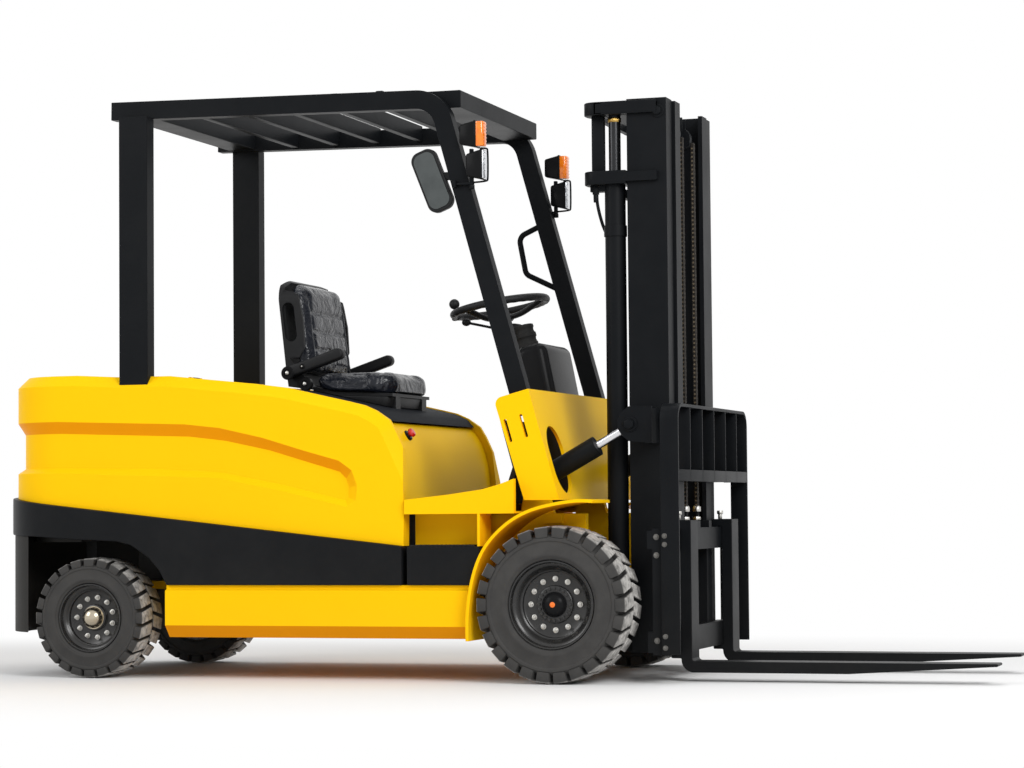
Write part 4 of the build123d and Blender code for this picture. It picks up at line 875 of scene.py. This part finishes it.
def makeDash(look):
    cover = prism(look["side"], look["half"])
    foot = look["side"][0][1]
    return roundedPlan(cover, lambda spot, run: spot.z > foot + 0.005, look["corner"])


def makeColumn(look):
    tube = tubeAlong(look["columnLine"], look["column"], 24)
    radius, length = look["collar"]
    tilt = math.radians(wheelLook["tilt"])
    axis = Vector((-math.sin(tilt), 0, math.cos(tilt)))
    hubFoot = Vector(wheelLook["centre"]) - axis * look["hubFoot"]
    collar = rounded(addRod(hubFoot - axis * length, hubFoot, radius, 32), 0.003)
    return joined([tube, collar])


dress(makeDash(dashLook), "dash_cover", "dash", glossPlastic, smooth=50)
boot = turned(dashLook["boot"], dashLook["bootCentre"], dashLook["bootAxis"], 48)
dress(boot, "column_boot", "dash", matRubber, smooth=40)
dress(makeColumn(dashLook), "steering_column", "dash", grainPlastic, smooth=40)
print("steering made")

# lift chains: leaf links, the front legs gather towards the sheaves as the carriage climbs
chainLook = {"pitch": 0.0159, "plate": 0.0022, "pinRadius": 0.0036, "width": 0.024}


def makeLink(low, thick, look):
    # two pairs of plates on each of two pitches, standing along z
    pitch, plates = look["pitch"], []
    for offset, rise in ((0.18, 0.0), (0.34, 0.0), (0.26, 1.0), (0.42, 1.0)):
        for sign in (-1, 1):
            plate = addCube((0, sign * offset * look["width"], low + pitch * (0.5 + rise)),
                            (thick, look["plate"], pitch * 1.6))
            plates.append(rounded(plate, 0.0009, 1))
    return joined(plates)


def makePins(low, thick, look):
    half = look["width"] / 2
    heights = [low + look["pitch"] * rise for rise in (0.0, 1.0)]
    return joined([addRod((0, -half, z), (0, half, z), look["pinRadius"], 10) for z in heights])


def makeChain(node, makeUnit, look):
    low, high = cornersOf(node)
    x, y = (low.x + high.x) / 2, high.y - look["width"] / 2
    count = int((high.z - low.z - 0.02) / (2 * look["pitch"]))
    unit = makeUnit(low.z + 0.010, high.x - low.x, look)
    leg = joined(rowOf(unit, count, (0, 0, 2 * look["pitch"])))
    legs = [twin(leg, Matrix.Translation((x, side * y, 0))) for side in (-1, 1)]
    bpy.data.objects.remove(leg)
    return joined(legs)


for part, makeUnit, material in (("links", makeLink, oiledSteel), ("pins", makePins, chainPin)):
    frontChain = makeChain("chain_front", makeUnit, chainLook)
    dress(frontChain, f"chain_front_{part}", "chain_front", material, smooth=30)
    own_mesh(frontChain)
    rearChain = makeChain("chain_rear", makeUnit, chainLook)
    climbing = twin(rearChain, Matrix.Identity(4))
    dress(rearChain, f"chain_rear_{part}", "chain_rear", material, smooth=30)
    climbing.data.transform(Matrix.Translation((0, 0, chainLook["pitch"])) @ Matrix.Diagonal((1, 1, 0.98, 1)))
    dress(climbing, f"chain_climbing_{part}", "inner_mast", material, stands=False, smooth=30)
print("chains made")

# lamps: tapered housings, a ribbed amber lens, and a work light with bezel, glass and hoop guard
lampLook = {"taper": 0.72, "hoop": 0.0035, "y": 0.520, "width": 0.054}
signalLook = {"corners": ((0.006, 1.924), (0.099, 2.022)), "depth": 0.028, "ribs": 7}
workLook = {"corners": ((0.030, 1.806), (0.100, 1.917)), "depth": 0.006, "ribs": 5}


def tapered(centre, size, share):
    # a block whose rear face is smaller than its front
    block = addCube(centre, size)
    for vertex in block.data.vertices:
        if vertex.co.x < centre[0]:
            vertex.co.y = centre[1] + (vertex.co.y - centre[1]) * share
            vertex.co.z = centre[2] + (vertex.co.z - centre[2]) * share
    return rounded(block, 0.008, 3)


def makeLamp(side, lamp, look):
    # housing and ribbed front of one lamp
    (rearX, lowZ), (frontX, highZ) = lamp["corners"]
    depth, ribs, width = lamp["depth"], lamp["ribs"], look["width"]
    y, z, tall = side * look["y"], (lowZ + highZ) / 2, highZ - lowZ
    splitX = frontX - depth
    housing = tapered(((rearX + splitX) / 2, y, z), (splitX - rearX, width, tall), look["taper"])
    bezel = rounded(addCube((splitX - 0.003, y, z), (0.008, width, tall)), 0.003, 3)
    front = addCube(((splitX + frontX) / 2, y, z), (depth, width - 0.006, tall - 0.008))
    roundedPlan(front, lambda spot, run: abs(run.z) > 0.9 and spot.x > splitX + depth / 2, depth * 0.4)
    rounded(front, 0.0025)
    step = (tall - 0.024) / (ribs - 1)
    rib = rounded(addCube((frontX - 0.0005, y, lowZ + 0.012), (0.003, width * 0.7, 0.004)), 0.001)
    return joined([housing, bezel]), joined([front] + rowOf(rib, ribs, (0, 0, step)))


def makeLampBracket(side, lamp, look):
    (rearX, lowZ), (frontX, highZ) = lamp["corners"]
    y = side * look["y"]
    upright = rounded(addCube((rearX + 0.018, y, lowZ + 0.042), (0.014, 0.014, 0.146)), 0.002)
    arm = rounded(addCube((rearX - 0.012, y, lowZ - 0.011), (0.074, 0.022, 0.009)), 0.002)
    nut = addRod((rearX + 0.018, y, lowZ - 0.031), (rearX + 0.018, y, lowZ - 0.016), 0.011, 6)
    clamp = rounded(addCube((rearX - 0.045, y, lowZ - 0.011), (0.012, 0.034, 0.026)), 0.003)
    line = [(frontX - 0.020, highZ + 0.004), (frontX + 0.006, highZ + 0.005), (frontX + 0.010, highZ - 0.005),
            (frontX + 0.010, lowZ + 0.004), (frontX + 0.006, lowZ - 0.006), (frontX - 0.050, lowZ - 0.007)]
    hoop = tubeAlong([(x, y, z) for x, z in line], look["hoop"])
    return joined([upright, arm, rounded(nut, 0.0015), clamp, hoop])


for label, side in (("left", 1), ("right", -1)):
    housing, lens = makeLamp(side, signalLook, lampLook)
    dress(housing, f"signal_housing_{label}", "lamps", glossPlastic)
    dress(lens, f"signal_lens_{label}", "lamp_lenses", amberLens)
    housing, glass = makeLamp(side, workLook, lampLook)
    dress(housing, f"work_housing_{label}", "lamps", glossPlastic)
    dress(glass, f"work_glass_{label}", "lamps", clearGlass)
    dress(makeLampBracket(side, workLook, lampLook), f"lamp_bracket_{label}", "lamps", satinBlack)
print("lamps made")

# load backrest: a flat bar bent over both sides, a lower bar, five upright bars and pads at the carriage bars
restLook = {"corner": 0.060, "wall": 0.012, "lowBar": (0.712, 0.754), "barDepth": 0.052, "bars": 5,
            "barThick": 0.008, "padY": (0.5203, 0.528), "padZ": ((0.470, 0.545), (0.105, 0.191))}


def makeBackrest(look):
    low, high = cornersOf("backrest")
    wall = look["wall"]
    half, top, bend = high.y - wall / 2, high.z - wall / 2, look["corner"] - wall / 2
    arc = [math.radians(90 * step / 8) for step in range(9)]
    path = [(-half, low.z)]
    path += [(-half + bend - bend * math.cos(a), top - bend + bend * math.sin(a)) for a in arc]
    path += [(half - bend + bend * math.sin(a), top - bend + bend * math.cos(a)) for a in arc]
    path.append((half, low.z))
    clearSelection()
    bpy.ops.mesh.primitive_grid_add(x_subdivisions=len(path) - 1, y_subdivisions=1, size=2)
    band = bpy.context.object
    columns = sorted({round(vertex.co.x, 4) for vertex in band.data.vertices})
    for vertex in band.data.vertices:
        y, z = path[columns.index(round(vertex.co.x, 4))]
        vertex.co = (high.x if vertex.co.y > 0 else low.x, y, z)
    useModifier(band, "SOLIDIFY", thickness=wall, offset=0.0)
    inner, barTop, spacing = high.y - wall, high.z - wall, high.y / 3
    bottom, upper = look["lowBar"]
    lowBar = addCube((high.x - 0.008, 0, (bottom + upper) / 2), (0.016, 2 * inner, upper - bottom))
    bar = addCube((high.x - look["barDepth"] / 2, -2 * spacing, (bottom + barTop) / 2),
                  (look["barDepth"], look["barThick"], barTop - bottom))
    pieces = [rounded(band, 0.002, 2, 60), rounded(lowBar, 0.0025)]
    pieces += rowOf(rounded(bar, 0.0018), look["bars"], (0, spacing, 0))
    padIn, padOut = look["padY"]
    for padLow, padTop in look["padZ"]:
        pad = addCube((low.x + 0.013, (padIn + padOut) / 2, (padLow + padTop) / 2),
                      (0.026, padOut - padIn, padTop - padLow))
        rounded(pad, 0.0015)
        pieces += [pad, mirroredAcross(pad)]
    return joined(pieces)


dress(makeBackrest(restLook), "backrest_frame", "backrest", satinBlack)
print("backrest made")

# mirror: a convex glass in a soft housing
mirrorLook = {"place": (-0.112, 1.815), "lean": 21.7, "size": (0.082, 0.212), "corner": 0.030, "bulge": 0.006}


def makeMirrorGlass(look):
    x, z = look["place"]
    centre = Vector((x, cornersOf("mirror")[0].y, z))
    clearSelection()
    bpy.ops.mesh.primitive_grid_add(x_subdivisions=24, y_subdivisions=40, size=1)
    glass = bpy.context.object
    wide, tall = (value / 2 for value in look["size"])
    corner = look["corner"]
    for vertex in glass.data.vertices:
        x, z = vertex.co.x * 2 * wide, vertex.co.y * 2 * tall
        edgeX = max(abs(x) - (wide - corner), 0)
        edgeZ = max(abs(z) - (tall - corner), 0)
        reach = math.hypot(edgeX, edgeZ)
        if reach > corner:
            x = math.copysign(wide - corner + edgeX * corner / reach, x)
            z = math.copysign(tall - corner + edgeZ * corner / reach, z)
        bulge = look["bulge"] * (1 - 0.5 * (x / wide) ** 2 - 0.5 * (z / tall) ** 2)
        vertex.co = (x, -bulge, z)
    glass.data.transform(Matrix.Translation(centre) @ Matrix.Rotation(math.radians(-look["lean"]), 4, "Y"))
    return glass


dress(makeMirrorGlass(mirrorLook), "mirror_glass", "mirror", mirrorGlass, stands=False, smooth=60)
softened("mirror", 0.007, 3, 40)
print("mirror made")

# rounded edges on the welded, cast and moulded nodes
edgeWidths = {
    "guard_sides": 0.006, "guard_roof": 0.004, "inner_mast": 0.0025, "carriage": 0.003, "forks": 0.004,
    "frame": 0.004, "cowl": 0.0035, "fenders": 0.003, "counterweight": 0.012, "body_band": 0.006,
    "hood": 0.006, "seat_box": 0.003, "floor": 0.002, "tilt_barrel_left": 0.003, "tilt_barrel_right": 0.003,
    "lift_barrels": 0.003, "steer_axle": 0.004,
}
for node, width in edgeWidths.items():
    softened(node, width, 2, 35)
softened("body_cover", 0.010, 3, 18, 0.1)
print("edges rounded")

# mast ties, fittings and bolts
tieLook = {"lower": (0.4125, 0.577, 1.792, 1.841), "upper": (0.4125, 0.489, 2.046, 2.093),
           "y": (0.236, 0.3495), "corner": 0.045, "rodHole": 0.028, "rod": (0.521, 0.290),
           "strip": (0.4575, 0.693, 0.3325, 0.3495), "stay": (0.436, 0.482, 0.275, 0.300),
           "upright": (0.400, 0.4365, 0.222, 0.298, 1.8345, 2.0515)}


def makeTiePlate(extent, look, hole):
    rearX, frontX, lowZ, topZ = extent
    innerY, outerY = look["y"]
    plate = addCube(((rearX + frontX) / 2, (innerY + outerY) / 2, (lowZ + topZ) / 2),
                    (frontX - rearX, outerY - innerY, topZ - lowZ))
    roundedPlan(plate, lambda spot, run: abs(run.z) > 0.9 and spot.x < rearX + 0.01, look["corner"])
    if hole:
        x, y = look["rod"]
        cutAway(plate, addRod((x, y, lowZ - 0.02), (x, y, topZ + 0.02), look["rodHole"], 32))
    return rounded(plate, 0.003)


def makeStay(look):
    # flat bar between the ties and the strip that carries the upper tie to the rail
    foot, (lowZ, topZ) = look["lower"][3], look["upper"][2:]
    rearX, frontX, innerY, outerY = look["stay"]
    bar = addCube(((rearX + frontX) / 2, (innerY + outerY) / 2, (foot + lowZ) / 2),
                  (frontX - rearX, outerY - innerY, lowZ - foot + 0.004))
    rearX, frontX, innerY, outerY = look["strip"]
    strip = addCube(((rearX + frontX) / 2, (innerY + outerY) / 2, (lowZ + topZ) / 2),
                    (frontX - rearX, outerY - innerY, topZ - lowZ))
    return joined([rounded(bar, 0.002), rounded(strip, 0.002)])


def dropUpright(mast):
    # the solid's narrow uprights between the ties come off the copy, because the wider stays take their place
    rearX, frontX, innerY, outerY, lowZ, topZ = tieLook["upright"]
    for side in (-1, 1):
        cutAway(mast, addCube(((rearX + frontX) / 2, side * (innerY + outerY) / 2, (lowZ + topZ) / 2),
                              (frontX - rearX, outerY - innerY, topZ - lowZ)))


def makeBurstPipe(look):
    # steel pipe from the underside of the lower tie to the clamp on the barrel, with its fittings
    y, lowZ = look["rod"][1], look["lower"][2]
    line = [(0.452, y + 0.014, lowZ - 0.006), (0.454, y + 0.013, lowZ - 0.050), (0.462, y + 0.008, lowZ - 0.100),
            (0.478, y, lowZ - 0.160), (0.490, y, lowZ - 0.180)]
    pipe = tubeAlong(line, 0.006)
    foot = (0.452, y + 0.014, lowZ - 0.032)
    union = addRod(foot, (0.452, y + 0.014, lowZ), 0.013, 6)
    collar = addRod((0.4525, y + 0.0137, lowZ - 0.060), foot, 0.0095, 16)
    return joined([pipe, rounded(union, 0.0015), rounded(collar, 0.0015)])


softened("outer_mast", 0.0025, 2, 35, cut=dropUpright)
tieParts = {
    "tie_lower": makeTiePlate(tieLook["lower"], tieLook, True),
    "tie_upper": makeTiePlate(tieLook["upper"], tieLook, False),
    "tie_stay": makeStay(tieLook),
    "burst_pipe": makeBurstPipe(tieLook),
}
tieSides = {"left": list(tieParts.values()), "right": [mirroredAcross(piece) for piece in tieParts.values()]}
for label, pieces in tieSides.items():
    for part, piece in zip(tieParts, pieces):
        dress(piece, f"{part}_{label}", "outer_mast", satinBlack, stands=False)


def makeBolt():
    # washer and hexagon head with a chamfered top, one unit in radius, standing along z
    outline = [(0, -0.3), (1.45, -0.3), (1.45, 0.15), (1.35, 0.25), (0, 0.25)]
    washer = turned(outline, axis=(0, 0, 1), steps=24)
    head = rounded(addRod((0, 0, 0.2), (0, 0, 0.95), 1.0, 6), 0.12)
    return joined([washer, head])


boltMaster = makeBolt()
boltGroups = {
    "mast_bolts": ("outer_mast", satinBlack,
                   [((0.694, 0.332, 2.052), 0.017), ((0.611, 0.4515, 0.917), 0.019)]),
    "carriage_bolts": ("carriage", dullZinc,
                       [((0.722, 0.520, z), 0.0075) for z in (0.516, 0.452, 0.152)]),
    "backrest_bolts": ("backrest", dullZinc,
                       [((0.757, 0.540, z), 0.0065) for z in (0.520, 0.490, 0.168, 0.128)]),
}
for name, (node, material, spots) in boltGroups.items():
    bolts = []
    for (x, y, z), size in spots:
        for side in (-1, 1):
            outward = Vector((0, side, 0)).to_track_quat("Z", "Y").to_matrix().to_4x4()
            place = Matrix.Translation((x, side * y, z)) @ outward @ Matrix.Scale(size, 4)
            bolts.append(twin(boltMaster, place))
    dress(joined(bolts), name, node, material, stands=False, smooth=30)
bpy.data.objects.remove(boltMaster)

anchorLook = {"x": 0.7195, "y": 0.085, "nut": (0.571, 0.584, 0.015),
              "eye": ((0, 0.603), (0.0135, 0.603), (0.0145, 0.606), (0.0145, 0.619), (0.012, 0.624),
                      (0.0075, 0.627), (0, 0.627))}
latchLook = {"x": 0.752, "y": 0.317, "stem": (0.574, 0.600, 0.008), "cap": (0.592, 0.606, 0.012)}
rodNut = (2.022, 2.040, 0.026)


def standing(x, y, look, sides, edge):
    # an upright rod with rounded ends, from its low and high z and its radius
    low, high, radius = look
    return rounded(addRod((x, y, low), (x, y, high), radius, sides), edge)


def makeAnchors(look):
    # threaded ends that hold the chains on the carriage
    eye = turned(look["eye"], (look["x"], look["y"], 0), (0, 0, 1), 24)
    return bothSides(joined([eye, standing(look["x"], look["y"], look["nut"], 6, 0.0015)]))


def makeLatches(look):
    # spring latch standing on each fork hook
    stem = standing(look["x"], look["y"], look["stem"], 16, 0.0015)
    return bothSides(joined([stem, standing(look["x"], look["y"], look["cap"], 16, 0.003)]))


rodNuts = bothSides(standing(*tieLook["rod"], rodNut, 6, 0.002))
dress(rodNuts, "rod_nuts", "lift_rods", brassFitting, stands=False)
dress(makeAnchors(anchorLook), "chain_anchors", "carriage", zincSteel, stands=False)
dress(makeLatches(latchLook), "fork_latches", "forks", zincSteel, stands=False)
print("fittings made")

# step treads, floor mat, pedal pads, lever and emergency switch
ribThick = 0.003
# extent along x and y, height and number of ribs
treadLook = {
    "step": ((-0.182, 0.066), (0.458, 0.578), 0.487, 16),
    "mat": ((-0.190, 0.120), (-0.520, 0.520), 0.655, 26),
    "brake": ((0.063, 0.137), (-0.148, -0.082), 0.702, 6),
    "drive": ((0.063, 0.137), (0.072, 0.168), 0.712, 6),
}


def makeRibbed(xs, ys, z, count, thick):
    # a rubber sheet with ribs across it
    length, width, middleY = xs[1] - xs[0], ys[1] - ys[0], (ys[0] + ys[1]) / 2
    sheet = addCube(((xs[0] + xs[1]) / 2, middleY, z + thick / 2), (length, width, thick))
    step = length / count
    rib = addCube((xs[0] + step / 2, middleY, z + thick * 1.3), (step * 0.5, width * 0.96, thick))
    ribs = rowOf(rounded(rib, thick * 0.25), count, (step, 0, 0))
    return joined([rounded(sheet, thick * 0.3)] + ribs)


stepTread = makeRibbed(*treadLook["step"], ribThick)
dress(mirroredAcross(stepTread), "step_tread_right", "body_band", matRubber, stands=False)
dress(stepTread, "step_tread_left", "body_band", matRubber, stands=False)
dress(makeRibbed(*treadLook["mat"], ribThick), "floor_mat", "floor", matRubber, stands=False)
for label in ("brake", "drive"):
    pad = makeRibbed(*treadLook[label], ribThick)
    dress(pad, f"pedal_pad_{label}", "floor", matRubber, stands=False)

leverLook = {"line": ((0.020, -0.020, 1.292), (-0.020, -0.045, 1.300), (-0.070, -0.080, 1.312),
                      (-0.118, -0.100, 1.322)),
             "rod": 0.005, "ball": 0.014, "ballPlace": (-0.120, -0.101, 1.323), "stretch": 1.25}
switchLook = {"place": (-0.274, -0.332, 0.893), "facing": (0.82, 0, 0.57), "collar": 0.021, "head": 0.017}


def makeLever(look):
    # direction lever on the column, with a ball grip
    rod = tubeAlong(look["line"], look["rod"])
    clearSelection()
    bpy.ops.mesh.primitive_uv_sphere_add(segments=24, ring_count=14, radius=look["ball"])
    ball = bpy.context.object
    stretch = Matrix.Scale(look["stretch"], 4, (1, 0, 0))
    ball.data.transform(Matrix.Translation(look["ballPlace"]) @ stretch)
    return joined([rod, ball])


def makeSwitch(look):
    collar, head = look["collar"], look["head"]
    base = [(0, -0.006), (collar, -0.006), (collar, 0.005), (collar - 0.003, 0.008), (0, 0.008)]
    cap = [(0, 0.007), (head * 0.6, 0.007), (head * 0.6, 0.013), (head, 0.015), (head, 0.023),
           (head * 0.8, 0.028), (0, 0.030)]
    return [turned(outline, look["place"], look["facing"], 28) for outline in (base, cap)]


dress(makeLever(leverLook), "direction_lever", "dash", glossPlastic, stands=False)
switchBase, switchCap = makeSwitch(switchLook)
dress(switchBase, "stop_switch_collar", "seat_box", glossPlastic, stands=False)
dress(switchCap, "stop_switch_cap", "seat_box", signalRed, stands=False)
print("cab fittings made")

# camera, floor and light
cameraView = {"place": (3.166, -9.71, 0.626), "azimuth": 17.70, "elevation": -2.61, "roll": -0.503,
              "lens": 94.8, "sensor": 36.0, "shiftX": -0.0101}


def makeCamera(look):
    a, e, r = (math.radians(look[key]) for key in ("azimuth", "elevation", "roll"))
    back = Vector((math.sin(a) * math.cos(e), -math.cos(a) * math.cos(e), math.sin(e)))
    right = Vector((math.cos(a), math.sin(a), 0))
    up = back.cross(right)
    across = right * math.cos(r) + up * math.sin(r)
    upward = up * math.cos(r) - right * math.sin(r)
    data = bpy.data.cameras.new("photoView")
    data.sensor_width = look["sensor"]
    data.lens = look["lens"]
    data.shift_x = look["shiftX"]
    data.clip_end = 100.0
    camera = linked(bpy.data.objects.new("photoView", data))
    turn = Matrix((across, upward, back)).transposed().to_4x4()
    camera.matrix_world = Matrix.Translation(look["place"]) @ turn
    bpy.context.scene.camera = camera


def seenRays(tree):
    # 1 for rays that look, straight, by reflection or through glass, and 0 for rays that gather light
    rays = put(tree, "ShaderNodeLightPath").outputs
    shown = mathNode(tree, "ADD", rays["Is Camera Ray"], rays["Is Transmission Ray"], True)
    return mathNode(tree, "ADD", shown, rays["Is Glossy Ray"], True)


def blended(tree, share, first, second):
    mix = put(tree, "ShaderNodeMixShader")
    for socket, value in zip(mix.inputs, (share, first.outputs[0], second.outputs[0])):
        tree.links.new(value, socket)
    return mix.outputs[0]


def makeFloor(size=60.0, nearEdge=1.6, farEdge=3.2, stretch=0.55):
    # pale floor that keeps the truck's shadow and fades to the white backdrop away from it
    clearSelection()
    bpy.ops.mesh.primitive_plane_add(size=size, location=(0, 0, 0))
    floor = bpy.context.object
    floor.name = "studioFloor"
    material = bpy.data.materials.new("paleFloor")
    material.use_nodes = True
    tree = material.node_tree
    shader = tree.nodes["Principled BSDF"]
    for label, value in (("Base Color", (0.8, 0.8, 0.8, 1)), ("Roughness", 0.9), ("Specular IOR Level", 0.1)):
        shader.inputs[label].default_value = value
    place = put(tree, "ShaderNodeTexCoord")
    split = put(tree, "ShaderNodeSeparateXYZ", Vector=place.outputs["Object"])
    across = mathNode(tree, "MULTIPLY", split.outputs["X"], stretch)
    away = ramp(tree, lengthOf(tree, across, split.outputs["Y"]), nearEdge, farEdge)
    white = put(tree, "ShaderNodeEmission", Color=(1, 1, 1, 1), Strength=1.0)
    surface = blended(tree, mathNode(tree, "MULTIPLY", away, seenRays(tree)), shader, white)
    tree.links.new(surface, tree.nodes["Material Output"].inputs["Surface"])
    floor.data.materials.append(material)


def makeWorld(lightLevel=0.6):
    world = bpy.data.worlds.new("paleRoom")
    bpy.context.scene.world = world
    world.use_nodes = True
    tree = world.node_tree
    tree.nodes.clear()
    dim = put(tree, "ShaderNodeBackground", Color=(1, 1, 1, 1), Strength=lightLevel)
    white = put(tree, "ShaderNodeBackground", Color=(1, 1, 1, 1), Strength=1.0)
    put(tree, "ShaderNodeOutputWorld", Surface=blended(tree, seenRays(tree), dim, white))


makeCamera(cameraView)
makeFloor()
makeWorld()
softBoxes = [
    {"name": "keySoftbox", "place": (5.9, -5.7, 5.2), "aim": (0, 0, 0.9), "size": 4.0, "power": 525.0},
    {"name": "sideSoftbox", "place": (-6.0, -5.0, 4.5), "aim": (-0.4, 0, 0.8), "size": 4.0, "power": 190.0},
    {"name": "topSoftbox", "place": (0.0, 2.0, 7.0), "aim": (0, 0, 0.8), "size": 5.0, "power": 150.0},
]
for box in softBoxes:
    data = bpy.data.lights.new(box["name"], "AREA")
    data.shape = "SQUARE"
    data.size = box["size"]
    data.energy = box["power"]
    lamp = linked(bpy.data.objects.new(box["name"], data))
    lamp.location = box["place"]
    lamp.rotation_mode = "QUATERNION"
    lamp.rotation_quaternion = (Vector(box["aim"]) - Vector(box["place"])).to_track_quat("-Z", "Y")
bpy.context.scene.view_settings.view_transform = "Standard"
print("camera, floor and lights set")
